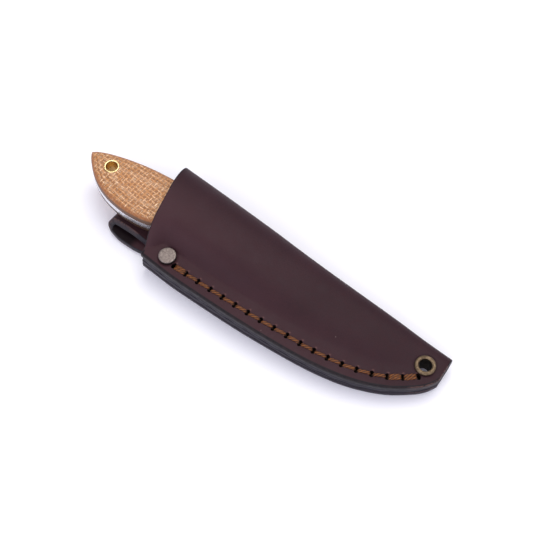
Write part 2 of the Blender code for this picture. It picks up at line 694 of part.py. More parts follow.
def main():
    clear_scene()
    parts = new_collection("whittling_knife")
    cutters = new_collection("cutters")
    leather = make_material("dark_leather", (0.085, 0.042, 0.034), 0.5)
    welt_leather = make_material("edge_leather", (0.055, 0.048, 0.05), 0.55)
    waxed_thread = make_material("waxed_thread", (0.32, 0.16, 0.05), 0.7)
    antique = make_material("antique_silver", (0.42, 0.38, 0.32), 0.4, 1.0)
    antique_brass = make_material("antique_brass", (0.40, 0.31, 0.19), 0.35, 1.0)
    steel = make_material("polished_steel", (0.75, 0.75, 0.78), 0.2, 1.0)
    micarta = make_material("canvas_micarta", (0.50, 0.27, 0.13), 0.5)
    brass = make_material("brass", (0.80, 0.62, 0.25), 0.25, 1.0)

    frame = bpy.data.objects.new("sheath_frame", None)
    parts.objects.link(frame)
    knife = bpy.data.objects.new("knife_axis", None)
    knife.parent = frame
    knife.location = (0.0, 0.0, KNIFE_HEIGHT * MM)
    knife.rotation_euler = (0.0, math.atan(KNIFE_SLOPE), 0.0)
    parts.objects.link(knife)

    sheath = build_sheath(parts, frame, leather)
    welts = build_welts(parts, frame, welt_leather)
    holes = [stitch_cutter(cutters, frame), fastener_cutter(cutters, frame)]
    for piece in [sheath] + welts:
        for cutter in holes:
            cut(piece, cutter)
    cut(sheath, loop_rivet_cutter(cutters, frame))
    cut(sheath, loop_seat_cutter(cutters, frame))
    build_thread("stitch_thread_a", 0, parts, frame, waxed_thread)
    build_thread("stitch_thread_b", 1, parts, frame, waxed_thread)
    rivet("seam_rivet", SEAM_RIVET, 0.0, stack_height(SEAM_RIVET[0]), parts, frame, antique)
    build_eyelet(parts, frame, antique_brass)
    build_loop_rivets(parts, frame, antique)
    build_knife(parts, cutters, knife, steel, micarta, brass)

    leg_drop = LEATHER / 2 - LEG_LEVEL
    tilt = math.asin((leg_drop - EYELET_LIP) / (EYELET[0] - LEG_END))
    frame.rotation_euler = (0.0, tilt, 0.0)
    bpy.context.view_layer.update()
    solids = [obj for obj in parts.objects if obj.type != 'EMPTY']
    low, high = world_bounds(solids)
    frame.location = (-(low.x + high.x) / 2, -(low.y + high.y) / 2, -low.z)
    bpy.context.view_layer.update()


main()
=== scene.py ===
"""Looks for the whittling knife in its leather pouch sheath.

Shapes are worked out in millimetres in the sheath's own axes, as in the CAD: x from the fold's mouth
corner to the tip, y negative towards the seam, z over the back panel.  PLACE and KNIFE set them in
the row frame.
"""
import math

import bmesh
import bpy
import numpy as np
from mathutils import Matrix, Vector, kdtree

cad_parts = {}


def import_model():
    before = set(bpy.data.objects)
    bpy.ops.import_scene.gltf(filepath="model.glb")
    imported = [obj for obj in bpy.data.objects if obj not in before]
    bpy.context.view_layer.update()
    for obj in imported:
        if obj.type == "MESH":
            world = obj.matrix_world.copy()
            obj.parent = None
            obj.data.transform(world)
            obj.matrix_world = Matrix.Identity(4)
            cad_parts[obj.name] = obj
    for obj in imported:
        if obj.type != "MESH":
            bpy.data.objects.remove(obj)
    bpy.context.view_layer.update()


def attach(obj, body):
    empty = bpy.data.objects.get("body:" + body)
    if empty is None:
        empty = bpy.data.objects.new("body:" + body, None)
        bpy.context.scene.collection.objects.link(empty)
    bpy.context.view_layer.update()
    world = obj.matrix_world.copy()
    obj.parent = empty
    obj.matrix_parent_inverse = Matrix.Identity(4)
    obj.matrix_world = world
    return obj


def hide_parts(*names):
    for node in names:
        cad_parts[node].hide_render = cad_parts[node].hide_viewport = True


MM = 0.001

# ---- where the CAD puts things ----
TILT = math.asin(1.6 / 96.7)
SHEATH_ORIGIN = (-53.4963, 22.4185, 3.6964)
KNIFE_HEIGHT = 10.0
KNIFE_SLOPE = math.atan(0.034)
PLACE = Matrix.Translation(Vector(SHEATH_ORIGIN) * MM) @ Matrix.Rotation(TILT, 4, 'Y')
KNIFE = PLACE @ Matrix.Translation((0.0, 0.0, KNIFE_HEIGHT * MM)) @ Matrix.Rotation(KNIFE_SLOPE, 4, 'Y')
SHEATH_PART = (PLACE, "sheath")
KNIFE_PART = (KNIFE, "knife")

# ---- sizes that the CAD and these pieces share ----
LEATHER = 2.8
HALF = LEATHER / 2
WELT_FRONT = 2.5
STACK_MOUTH = 10.7
STACK_TIP = 8.1
STACK_TAPER_FROM = 60.0
FOLD_LENGTH = 141.6
SEAM_OUTLINE = [(12.8, 44.6), (28.8, 44.9), (45.0, 44.2), (62.0, 43.2), (80.0, 41.4), (96.0, 39.2),
                (110.0, 36.0), (120.4, 32.0), (129.0, 27.2), (136.5, 21.0), (140.4, 16.6), (142.6, 12.0)]
TOP_HEIGHT = [(0.0, 19.3), (20.0, 18.5), (35.0, 17.5), (50.0, 16.2), (62.0, 14.4), (75.0, 12.9),
              (90.0, 11.9), (105.0, 11.1), (116.0, 10.2), (124.0, 9.1), (130.0, 8.45), (142.0, 8.1)]
CREST = (16.0, 4.6)            # where the front panel is highest, at the mouth and at the tip
BACK_FOLD = (10.0, 4.6)        # where the back panel goes flat, at the mouth and at the tip
FOLD_TAPER = 1.3
PANEL_BREADTH = (3.2, 2.1)     # how full the front panel is, at the mouth and deep inside
SEAM_FLAT = (4.0, 10.2)        # the flat strip's width at the mouth and past its ramp
SEAM_FLAT_RAMP = 8.5
TONGUE_NEAR = 36.4
TONGUE_FAR = 12.6
LOOP_END = -9.9
LOOP_RADIUS = 1.95
LOOP_CURL = 1.35
LOOP_SAG = 0.9
LOOP_START = [(6.0, 1.75, 36.4), (0.0, 2.25, 36.4), (-5.5, 2.25, 36.7)]
LOOP_RETURN = [(-5.5, -2.2, 39.8), (-1.0, -2.2, 39.8), (5.0, -1.95, 39.3), (11.0, -1.6, 37.6),
               (17.0, -1.6, 34.4), (38.0, -1.6, 34.4)]
LOOP_RIVETS = [(29.0, 17.0), (29.0, 30.0)]
LOOP_RIVET_RADIUS = 3.2
SEAM_INSET = [(27.0, 4.7), (85.0, 5.5), (136.0, 4.4)]
STITCH_START = 27.0
STITCH_END = 135.2
STITCHES = 18
SEAM_RIVET = (22.6, 38.7)
SEAM_RIVET_RADIUS = 3.8
RIVET_HOLE = 1.5
EYELET = (134.7, 10.5)
EYELET_RADIUS = 4.4
EYELET_HOLE = 3.55
TANG = 3.2
SCALE_THICKNESS = 4.3
SCALE_FRONT_THICKNESS = 3.0
SCALE_FALL = {"scale_front": 2.2, "scale_back": 2.9}
SCALE_FALL_WIDTH = 2.1
SCALE_CROWN = 0.42
HANDLE_FRONT = 52.0
HANDLE_BELLY = [(-35.8, 21.8), (-34.6, 23.6), (-32.4, 25.8), (-28.0, 29.2), (-22.4, 32.2), (-16.5, 34.0),
                (-11.6, 34.7), (-6.0, 34.9), (0.8, 34.1), (6.5, 32.6), (10.5, 30.4), (15.0, 28.0),
                (20.0, 26.4), (28.0, 25.7), (38.0, 25.8), (46.0, 26.5), (52.0, 26.2)]
HANDLE_SPINE = [(52.0, 8.6), (40.0, 8.5), (25.0, 8.4), (12.0, 8.6), (2.4, 9.4), (-5.3, 10.5),
                (-12.1, 11.9), (-19.8, 14.0), (-26.8, 16.5), (-31.3, 18.5), (-34.2, 20.2)]
BLADE_EDGE = [(56.5, 27.4), (70.0, 27.6), (84.0, 27.0), (95.0, 25.6), (104.0, 23.0), (111.0, 19.8),
              (116.0, 16.6), (118.5, 14.8)]
BLADE_SPINE = [(62.0, 8.5), (85.0, 8.5), (97.0, 8.7), (105.0, 9.6), (112.0, 11.4), (118.5, 14.8)]
GRIND = 6.5
LANYARD = (-23.3, 22.4)
TUBE_RADIUS = 3.2
TUBE_BORE = 2.5
PINS = {"handle_pin_rear": (15.0, 21.6), "handle_pin_front": (41.0, 20.0)}
PIN_RADIUS = 2.4

# ---- camera ----
VIEW_AZIMUTH = math.radians(38.54)
VIEW_ELEVATION = 61.5
VIEW_DISTANCE = 0.45365
VIEW_TARGET = (0.00512, 0.01096, 0.0)
VIEW_LENS = 69.05

# ---- fine detail ----
EDGE_ROUND = 0.55
INNER_ROUND = 0.08
LOOP_ROUND = 0.25
STITCH_SLANT = 0.22
SLIT_LENGTH = 2.9
SLIT_WIDTH = 2.1
THREAD_WIDTH = 0.66
THREAD_HEIGHT = 0.46
THREAD_TWIST = 3.4
YARN_PITCH = 1.85
PLY = 0.13
DRILL = (-12.0, 20.0)
FIT = 0.03


# ==== helpers ====

def catmull(points, steps):
    pts = [Vector(p) for p in points]
    ends = [2 * pts[0] - pts[1]] + pts + [2 * pts[-1] - pts[-2]]
    result = []
    for a, b, c, d in zip(ends, ends[1:], ends[2:], ends[3:]):
        for step in range(steps):
            t = step / steps
            result.append(0.5 * (2 * b + (c - a) * t + (2 * a - 5 * b + 4 * c - d) * t * t
                                 + (3 * b - a - 3 * c + d) * t ** 3))
    result.append(pts[-1])
    return result


def read(points, x):
    return float(np.interp(x, [p[0] for p in points], [p[1] for p in points]))


def mix(a, b, share):
    return a + (b - a) * share


def smoothstep(t):
    t = min(1.0, max(0.0, t))
    return t * t * (3 - 2 * t)


OUTLINE = catmull(SEAM_OUTLINE, 12)
CROWN = catmull(TOP_HEIGHT, 10)
SEAM_START = SEAM_OUTLINE[0][0]
SEAM_DEPTH = SEAM_OUTLINE[0][1]


def seam_depth(x):
    return read(OUTLINE, x)


def stack_height(x):
    share = (x - STACK_TAPER_FROM) / (FOLD_LENGTH - STACK_TAPER_FROM)
    return mix(STACK_MOUTH, STACK_TIP, min(1.0, max(0.0, share)))


def put_in_scene(obj):
    bpy.context.scene.collection.objects.link(obj)


def finish_piece(mesh, node, part, material=None, sharp=40.0, name=None):
    """Make a mesh in metres, given in its part's axes, the piece that takes the place of a CAD node."""
    place, body = part
    mesh.transform(place)
    mesh.shade_smooth()
    mesh.set_sharp_from_angle(angle=math.radians(sharp))
    if material is not None:
        mesh.materials.append(material)
    obj = bpy.data.objects.new(name or node + "_look", mesh)
    put_in_scene(obj)
    bpy.context.view_layer.update()
    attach(obj, body)
    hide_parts(node)


def to_mesh(bm, name):
    """A bmesh in millimetres as a mesh in metres."""
    bmesh.ops.recalc_face_normals(bm, faces=bm.faces)
    if bm.calc_volume(signed=True) < 0.0:
        bmesh.ops.reverse_faces(bm, faces=bm.faces)
    bmesh.ops.scale(bm, vec=(MM, MM, MM), verts=bm.verts)
    mesh = bpy.data.meshes.new(name)
    bm.to_mesh(mesh)
    bm.free()
    return mesh


def reach_and_volume(mesh):
    """The furthest any point lies from the origin, and the volume inside."""
    bm = bmesh.new()
    bm.from_mesh(mesh)
    volume = bm.calc_volume(signed=True)
    bm.free()
    return max(v.co.length for v in mesh.vertices), volume


def carve(mesh, cutter_bm, material, hole_material):
    """Cut a bmesh's closed shapes out of a mesh; the walls of the holes get hole_material.

    A cut that reaches further out than the mesh, or loses half of it, is made again by another solver.
    """
    mesh.materials.append(material)
    cutter_mesh = to_mesh(cutter_bm, "cutter")
    cutter_mesh.materials.append(hole_material)
    cutter = bpy.data.objects.new("cutter", cutter_mesh)
    work = bpy.data.objects.new("work", mesh)
    for obj in (cutter, work):
        put_in_scene(obj)
    reach, volume = reach_and_volume(mesh)
    modifier = work.modifiers.new("cut", 'BOOLEAN')
    modifier.operation = 'DIFFERENCE'
    modifier.object = cutter
    for solver in ('EXACT', 'MANIFOLD', 'EXACT'):
        modifier.solver = solver
        if solver == 'EXACT':
            modifier.material_mode = 'TRANSFER'
        bpy.context.view_layer.update()
        graph = bpy.context.evaluated_depsgraph_get()
        result = bpy.data.meshes.new_from_object(work.evaluated_get(graph))
        new_reach, new_volume = reach_and_volume(result)
        if new_reach <= reach + 1e-6 and 0.5 * volume < new_volume < volume:
            break
    bpy.data.objects.remove(work)
    bpy.data.objects.remove(cutter)
    return result


def add_prism(bm, x, y, span, radius, sides, stretch=(1.0, 1.0), turn=0.0):
    """An upright prism, or with stretch an oval one, that spans two heights."""
    place = Matrix.Translation((x, y, (span[0] + span[1]) / 2)) @ Matrix.Rotation(turn, 4, 'Z')
    place = place @ Matrix.Diagonal((stretch[0], stretch[1], 1.0, 1.0))
    bmesh.ops.create_cone(bm, cap_ends=True, segments=sides, radius1=radius, radius2=radius,
                          depth=span[1] - span[0], matrix=place)


def nearest_of(points):
    """A search tree over points."""
    tree = kdtree.KDTree(len(points))
    for i, point in enumerate(points):
        tree.insert(point, i)
    tree.balance()
    return tree


def direction(points, i):
    """The way a line of points runs at its point i."""
    return (points[min(i + 1, len(points) - 1)] - points[max(i - 1, 0)]).normalized()


def lengths_along(points):
    """The length of a line of points up to each of them."""
    lengths = [0.0]
    for a, b in zip(points, points[1:]):
        lengths.append(lengths[-1] + (b - a).length)
    return lengths


def join_rings(bm, one, two):
    """Faces between two rings of vertices; one of them may be a single point."""
    for i in range(max(len(one), len(two))):
        j = i + 1
        corners = [one[i % len(one)], one[j % len(one)], two[j % len(two)], two[i % len(two)]]
        bm.faces.new(list(dict.fromkeys(corners)))


def turned(profile, sides, spot):
    """A closed lathe shape about Z; profile holds (radius, z), from the axis or round a ring."""
    bm = bmesh.new()
    rings = []
    for r, z in profile:
        angles = [2 * math.pi * i / sides for i in range(sides)] if r else [0.0]
        rings.append([bm.verts.new((spot[0] + r * math.cos(a), -spot[1] + r * math.sin(a), z))
                      for a in angles])
    pairs = list(zip(rings, rings[1:]))
    if len(rings[0]) > 1:
        pairs.append((rings[-1], rings[0]))
    for one, two in pairs:
        join_rings(bm, one, two)
    return bm


def turned_piece(node, part, profile, sides, spot, material, sharp=40.0):
    finish_piece(to_mesh(turned(profile, sides, spot), node + "_look"), node, part, material, sharp)


def round_profile(points, radius, steps=4):
    """Corners of an open (radius, z) profile rounded off with small arcs."""
    pts = [Vector(p) for p in points]
    result = [pts[0]]
    for a, b, c in zip(pts, pts[1:], pts[2:]):
        into = a - b
        out = c - b
        reach = min(radius, into.length * 0.45, out.length * 0.45)
        start = b + into.normalized() * reach
        end = b + out.normalized() * reach
        for i in range(steps + 1):
            t = i / steps
            result.append(start * (1 - t) ** 2 + b * 2 * t * (1 - t) + end * t ** 2)
    result.append(pts[-1])
    return [(p.x, p.y) for p in result]


def round_ring(points, radius):
    """The same for a profile that closes on its first point."""
    return round_profile(points + points[:1], radius)[:-1]


# ==== node materials ====

class Nodes:
    """Short names for building a material's node tree."""

    def __init__(self, name, place=PLACE):
        self.material = bpy.data.materials.new(name)
        self.material.use_nodes = True
        self.tree = self.material.node_tree
        self.shader = self.tree.nodes["Principled BSDF"]
        own = self.tree.nodes.new('ShaderNodeMapping')
        self.tree.links.new(self.tree.nodes.new('ShaderNodeTexCoord').outputs["Object"], own.inputs["Vector"])
        own.inputs["Location"].default_value = place.inverted().translation
        own.inputs["Rotation"].default_value = place.inverted().to_euler()
        self.coords = own.outputs["Vector"]

    def new(self, kind, **settings):
        node = self.tree.nodes.new('ShaderNode' + kind)
        for key, value in settings.items():
            setattr(node, key, value)
        return node

    def link(self, source, target):
        if isinstance(source, (int, float)):
            target.default_value = source
        elif isinstance(source, tuple):
            target.default_value = (*source, 1.0)[:len(target.default_value)]
        else:
            self.tree.links.new(source, target)

    def scaled(self, scale=(1, 1, 1), turn=0.0):
        """The part's coordinates in millimetres, times scale."""
        node = self.new('Mapping')
        self.link(self.coords, node.inputs["Vector"])
        node.inputs["Rotation"].default_value = (0.0, 0.0, turn)
        node.inputs["Scale"].default_value = tuple(1000.0 * s for s in scale)
        return node.outputs["Vector"]

    def axes(self, vector=None):
        """The three numbers of a vector, of the scaled coordinates where none is given."""
        node = self.new('SeparateXYZ')
        self.link(vector or self.scaled(), node.inputs[0])
        return node.outputs

    def noise(self, scale, detail=3.0, rough=0.55, vector=None, output="Fac"):
        node = self.new('TexNoise')
        self.link(vector or self.scaled(), node.inputs["Vector"])
        for key, number in (("Scale", scale), ("Detail", detail), ("Roughness", rough)):
            node.inputs[key].default_value = number
        return node.outputs[output]

    def voronoi(self, scale, vector=None):
        node = self.new('TexVoronoi')
        self.link(vector or self.scaled(), node.inputs["Vector"])
        node.inputs["Scale"].default_value = scale
        return node.outputs

    def math(self, operation, a, b=0.0):
        node = self.new('Math', operation=operation)
        self.link(a, node.inputs[0])
        self.link(b, node.inputs[1])
        return node.outputs[0]

    def times(self, a, b):
        return self.math('MULTIPLY', a, b)

    def span(self, value, low, high, to_low=0.0, to_high=1.0):
        node = self.new('MapRange')
        self.link(value, node.inputs["Value"])
        for key, number in (("From Min", low), ("From Max", high), ("To Min", to_low), ("To Max", to_high)):
            node.inputs[key].default_value = number
        return node.outputs["Result"]

    def blend(self, share, a, b):
        node = self.new('Mix', data_type='RGBA')
        self.link(share, node.inputs[0])
        self.link(a, node.inputs[6])
        self.link(b, node.inputs[7])
        return node.outputs[2]

    def levelness(self):
        """1 on level faces, 0 on upright ones."""
        return self.math('ABSOLUTE', self.axes(self.new('NewGeometry').outputs["Normal"])[2])

    def attribute(self, name):
        return self.new('Attribute', attribute_name=name).outputs["Fac"]

    def bump(self, height, distance, strength=1.0, under=None):
        """Fine relief, distance millimetres deep, laid over the relief under it."""
        node = self.new('Bump')
        self.link(height, node.inputs["Height"])
        node.inputs["Distance"].default_value = distance * MM
        node.inputs["Strength"].default_value = strength
        if under is not None:
            self.link(under, node.inputs["Normal"])
        return node.outputs["Normal"]

    def finish(self, color, roughness, normal=None, metallic=0.0, **sockets):
        self.link(color, self.shader.inputs["Base Color"])
        self.link(roughness, self.shader.inputs["Roughness"])
        self.shader.inputs["Metallic"].default_value = metallic
        if normal is not None:
            self.link(normal, self.shader.inputs["Normal"])
        for key, value in sockets.items():
            self.shader.inputs[key.replace("_", " ")].default_value = value
        return self.material


def leather_material():
    n = Nodes("dark_leather_look")
    x, y, z = n.axes()
    blotch = n.noise(0.045, 2.0)
    mottle = n.noise(0.35, 4.0, 0.6)
    grain = n.voronoi(2.6)["Distance"]
    pores = n.noise(3.2, 2.0, 0.6)
    base = n.blend(n.span(blotch, 0.35, 0.65), (0.0315, 0.0118, 0.0158), (0.0385, 0.0148, 0.0196))
    base = n.blend(n.times(n.span(mottle, 0.4, 0.75), 0.35), base, (0.050, 0.0180, 0.0200))
    base = n.blend(n.times(n.span(pores, 0.40, 0.65), 0.40), base, (0.018, 0.008, 0.010))
    specks = n.voronoi(0.13, n.scaled((1, 1, 0.3)))
    chosen = n.math('GREATER_THAN', specks["Color"], 0.62)
    speck = n.times(n.span(specks["Distance"], 0.03, 0.016), chosen)
    base = n.blend(n.times(speck, 0.55), base, (0.30, 0.22, 0.20))
    base = n.blend(n.attribute("burr"), base, (0.16, 0.075, 0.062))
    # Painted light: the leather is made lighter towards the mouth and towards the seam, where more light
    # falls on it.
    mouth_painted_light = n.times(n.span(x, 75.0, 5.0), n.span(y, -8.0, -20.0))
    seam_painted_light = n.span(y, -22.0, -38.0, 0.0, 0.27)
    painted_light = n.math('MAXIMUM', n.times(mouth_painted_light, 0.42), seam_painted_light)
    base = n.blend(painted_light, base, (0.075, 0.033, 0.038))
    # Painted shade: the back panel's outer side near the mouth and along the belt loop is made near black,
    # for the shade inside the loop.
    base = n.blend(n.attribute("inner"), base, (0.006, 0.003, 0.004))
    edge = n.attribute("edge")
    layers = n.noise(1.0, 3.0, 0.6, n.scaled((0.25, 0.25, 3.2)))
    edge_color = n.blend(n.span(layers, 0.3, 0.7), (0.0152, 0.0120, 0.0185), (0.0200, 0.0162, 0.0245))
    # Painted shade: the front panel's cut edges, above 4.4 mm, are made darker than the back panel's.
    edge_color = n.blend(n.span(z, 3.6, 4.4), edge_color, (0.0085, 0.0075, 0.0100))
    edge_color = n.blend(n.span(x, 9.0, 1.0), edge_color, (0.028, 0.026, 0.031))
    base = n.blend(edge, base, edge_color)
    worn = n.times(n.attribute("rim"), n.span(n.noise(1.1, 3.0, 0.7), 0.38, 0.56))
    base = n.blend(worn, base, (0.17, 0.085, 0.072))
    relief = n.math('ADD', n.times(grain, 0.35), n.times(pores, 0.5))
    normal = n.bump(mottle, 0.12, 0.25, n.bump(relief, 0.055, 0.6))
    rough = n.math('SUBTRACT', n.span(mottle, 0.3, 0.75, 0.47, 0.60), n.times(edge, 0.04))
    return n.finish(base, rough, normal, Specular_IOR_Level=0.135)


def edge_material():
    """Dyed and burnished cut leather, with the fibre layers faintly showing."""
    n = Nodes("burnished_edge_look")
    layers = n.noise(1.0, 4.0, 0.6, n.scaled((0.16, 0.16, 3.6)))
    smear = n.noise(0.5, 3.0, 0.6)
    color = n.blend(n.span(layers, 0.3, 0.7), (0.0152, 0.0120, 0.0185), (0.0210, 0.0168, 0.0255))
    color = n.blend(n.times(n.span(smear, 0.45, 0.75), 0.4), color, (0.028, 0.0235, 0.033))
    normal = n.bump(layers, 0.04, 0.35)
    return n.finish(color, n.span(smear, 0.3, 0.7, 0.48, 0.60), normal, Specular_IOR_Level=0.24)


def slit_material():
    n = Nodes("cut_leather_look")
    fibres = n.noise(2.5, 3.0, 0.7)
    color = n.blend(fibres, (0.006, 0.003, 0.003), (0.018, 0.009, 0.008))
    return n.finish(color, 0.8, n.bump(fibres, 0.08, 0.6), Specular_IOR_Level=0.12)


def thread_material():
    n = Nodes("waxed_thread_look")
    twist = n.attribute("twist")
    fuzz = n.noise(3.0, 3.0, 0.7)
    wax = n.noise(0.6, 3.0, 0.6)
    # Painted shade and highlight: the grooves between the plies are made darker and their crests lighter.
    color = n.blend(n.span(twist, 0.15, 0.85), (0.045, 0.014, 0.005), (0.190, 0.063, 0.013))
    color = n.blend(n.times(n.span(fuzz, 0.45, 0.8), 0.5), color, (0.270, 0.100, 0.024))
    color = n.blend(n.times(n.span(wax, 0.5, 0.8), 0.45), color, (0.062, 0.021, 0.007))
    # Painted shade: thread that lies inside the leather's holes is made darker the further in it lies.
    deep = n.attribute("sunk")
    color = n.blend(deep, color, (0.020, 0.010, 0.006))
    normal = n.bump(n.math('ADD', twist, n.times(fuzz, 0.6)), 0.10, 0.7)
    return n.finish(color, n.span(wax, 0.3, 0.7, 0.50, 0.68), normal, Specular_IOR_Level=0.3)


def micarta_material():
    """Canvas laminate: plain weave cut flat, the plies' edges where the surface slopes, and painted shade on
    its sloping and upright faces.
    """
    n = Nodes("canvas_micarta_look", KNIFE)
    pitch = 1.0 / YARN_PITCH
    turn = math.radians(3.0)
    bend = n.new('VectorMath', operation='MULTIPLY_ADD')
    n.link(n.noise(0.16, 3.0, 0.5, n.scaled((1, 1, 0)), "Color"), bend.inputs[0])
    bend.inputs[1].default_value = (1.0, 1.0, 0.0)
    n.link(n.scaled((pitch, pitch, 0.0), turn), bend.inputs[2])
    weave = bend.outputs[0]
    u, v, _ = n.axes(weave)
    across, along = (n.math('ABSOLUTE', n.math('SINE', n.times(c, math.pi))) for c in (u, v))
    cell = n.new('VectorMath', operation='FLOOR')
    n.link(weave, cell.inputs[0])
    column, row, _ = n.axes(cell.outputs[0])
    parity = n.math('ABSOLUTE', n.math('MODULO', n.math('ADD', column, row), 2.0))
    chance = n.new('TexWhiteNoise', noise_dimensions='3D')
    n.link(cell.outputs[0], chance.inputs["Vector"])
    warp = n.times(n.math('POWER', across, 0.35), n.math('POWER', along, 15.0))
    weft = n.times(n.math('POWER', across, 15.0), n.math('POWER', along, 0.35))
    crown = n.math('ADD', n.times(warp, parity), n.times(weft, n.math('SUBTRACT', 1.0, parity)))
    strength = n.span(chance.outputs["Value"], 0.1, 0.7, 0.1, 1.0)
    patches = n.span(n.noise(0.13, 2.0, 0.5), 0.35, 0.62, 0.6, 1.0)
    strands = n.math('MAXIMUM', n.noise(1.0, 2.0, 0.6, n.scaled((0.45, 3.4, 1.0), turn)),
                     n.noise(1.0, 2.0, 0.6, n.scaled((3.4, 0.45, 1.0), turn)))
    yarn = n.span(strands, 0.50, 0.62, 0.1, 1.0)
    fleck = n.times(n.times(n.span(crown, 0.12, 0.60), strength), n.times(patches, yarn))
    fleck = n.math('MAXIMUM', fleck, n.span(strands, 0.60, 0.72, 0.0, 0.8))
    resin = n.blend(n.span(n.noise(1.3, 3.0, 0.7), 0.32, 0.68), (0.420, 0.172, 0.052), (0.560, 0.250, 0.084))
    gaps = n.times(n.span(n.math('MAXIMUM', warp, weft), 0.10, 0.0), 0.62)
    color = n.blend(gaps, resin, (0.200, 0.100, 0.056))
    color = n.blend(fleck, color, (1.0, 0.78, 0.52))
    z = n.axes()[2]
    ripple = n.times(n.noise(0.30, 2.0, 0.5), 0.045)
    ply = n.math('FRACT', n.times(n.math('ADD', z, ripple), 1 / PLY))
    line = n.times(n.span(ply, 0.0, 0.13), n.span(ply, 0.36, 0.20))
    color = n.blend(n.times(line, 0.40), color, (0.165, 0.078, 0.038))
    light = n.times(n.span(ply, 0.42, 0.55), n.span(ply, 0.80, 0.64))
    color = n.blend(n.times(light, 0.22), color, (0.62, 0.43, 0.28))
    level = n.levelness()
    # Painted shade: the scales' rounded edges are made a darker orange and their upright walls dark brown,
    # where less light falls.
    color = n.blend(n.span(level, 0.975, 0.82, 0.0, 0.72), color, (0.290, 0.100, 0.028))
    color = n.blend(n.span(level, 0.55, 0.22, 0.0, 0.85), color, (0.085, 0.046, 0.028))
    # Painted shade: the back scale's sloping walls below the tang are made near black.
    under = n.times(n.span(z, -1.3, -1.7), n.span(level, 0.985, 0.93, 0.0, 1.0))
    color = n.blend(under, color, (0.045, 0.020, 0.009))
    normal = n.bump(crown, 0.05, 0.35)
    return n.finish(color, n.span(fleck, 0.0, 1.0, 0.42, 0.60), normal, Specular_IOR_Level=0.28)


def steel_material():
    """Satin flats with a polished edge all round."""
    n = Nodes("satin_steel_look", KNIFE)
    lines = n.noise(1.0, 3.0, 0.7, n.scaled((0.05, 5.0, 5.0)))
    haze = n.noise(0.12, 2.0, 0.5)
    flat = n.span(n.levelness(), 0.3, 0.8)
    color = n.blend(n.span(lines, 0.3, 0.7), (0.80, 0.80, 0.83), (0.90, 0.90, 0.93))
    color = n.blend(flat, color, n.blend(n.span(lines, 0.3, 0.7), (0.24, 0.24, 0.25), (0.31, 0.31, 0.32)))
    rough = n.math('ADD', n.span(flat, 0.0, 1.0, 0.18, 0.42), n.times(haze, 0.08))
    return n.finish(color, rough, n.bump(lines, 0.006, 0.4), metallic=1.0)


def brass_material():
    n = Nodes("turned_brass_look", KNIFE)
    lines = n.noise(1.0, 2.0, 0.6, n.scaled((0.4, 0.4, 8.0)))
    tarnish = n.noise(0.9, 3.0, 0.6)
    color = n.blend(n.span(tarnish, 0.45, 0.8), (0.95, 0.80, 0.40), (0.88, 0.66, 0.28))
    # Painted shade: upright faces, such as the lanyard tube's bore, are made a darker brown.
    color = n.blend(n.span(n.levelness(), 0.6, 0.2, 0.0, 0.9), color, (0.62, 0.38, 0.12))
    return n.finish(color, n.span(lines, 0.3, 0.7, 0.14, 0.26), n.bump(lines, 0.012, 0.4), metallic=1.0)


def antique_material(name, light, dark, scale):
    """Tarnished plating, with painted shade on its upright sides."""
    n = Nodes(name)
    mottle = n.noise(scale, 4.0, 0.7)
    pits = n.noise(scale * 3.5, 2.0, 0.6)
    color = n.blend(n.span(mottle, 0.36, 0.62), dark, light)
    color = n.blend(n.times(n.span(pits, 0.52, 0.75), 0.5), color, dark)
    # Painted shade: upright sides, such as the eyelet's barrel and the rivets' rims, are made near black.
    upright_shade = tuple(c * 0.16 for c in dark)
    color = n.blend(n.span(n.levelness(), 0.45, 0.12, 0.0, 0.9), color, upright_shade)
    rough = n.span(mottle, 0.3, 0.7, 0.62, 0.46)
    return n.finish(color, rough, n.bump(n.math('ADD', mottle, pits), 0.05, 0.45), metallic=1.0)


# ==== sheath leather ====

def front_height(share, v, depth, x_fold, x_seam):
    """Height of the front panel's middle surface over the back panel's outer face."""
    crest = mix(*CREST, share ** FOLD_TAPER)
    top = read(CROWN, x_fold) - HALF
    flat = mix(*SEAM_FLAT, smoothstep((x_seam - SEAM_START) / SEAM_FLAT_RAMP))
    breadth = mix(*PANEL_BREADTH, smoothstep((x_fold - 12.0) / 40.0))
    flat_from = max(crest + 1.5, depth - flat)
    stack = stack_height(x_fold + (x_seam - x_fold) * v / depth) - HALF
    drop = smoothstep((max(0.0, v - crest) / (flat_from - crest)) ** breadth)
    return mix(top, stack, drop)


# Distances from a cut edge of the rows that carry its rounding.
EDGE_STEPS = [0.0, 0.07, 0.17, 0.30, 0.46, 0.64, 0.90]


def mouth_columns():
    """Depths at the mouth of the columns of the front panel and of the back panel."""
    depth = SEAM_DEPTH
    front = [depth - d for d in EDGE_STEPS]
    front += list(np.linspace(depth - 1.2, depth - 8.2, 22))
    front += list(np.linspace(depth - 8.8, CREST[0] + 0.6, 32))
    back = [10.0, 11.0, 11.8]
    back += [TONGUE_FAR + d for d in EDGE_STEPS]
    back += list(np.linspace(TONGUE_FAR + 1.6, TONGUE_NEAR - 1.6, 30))
    back += [TONGUE_NEAR - d for d in reversed(EDGE_STEPS)]
    back += list(np.linspace(TONGUE_NEAR + 0.9, depth - 1.5, 9))
    back += [depth - d for d in reversed(EDGE_STEPS)]
    return front, back


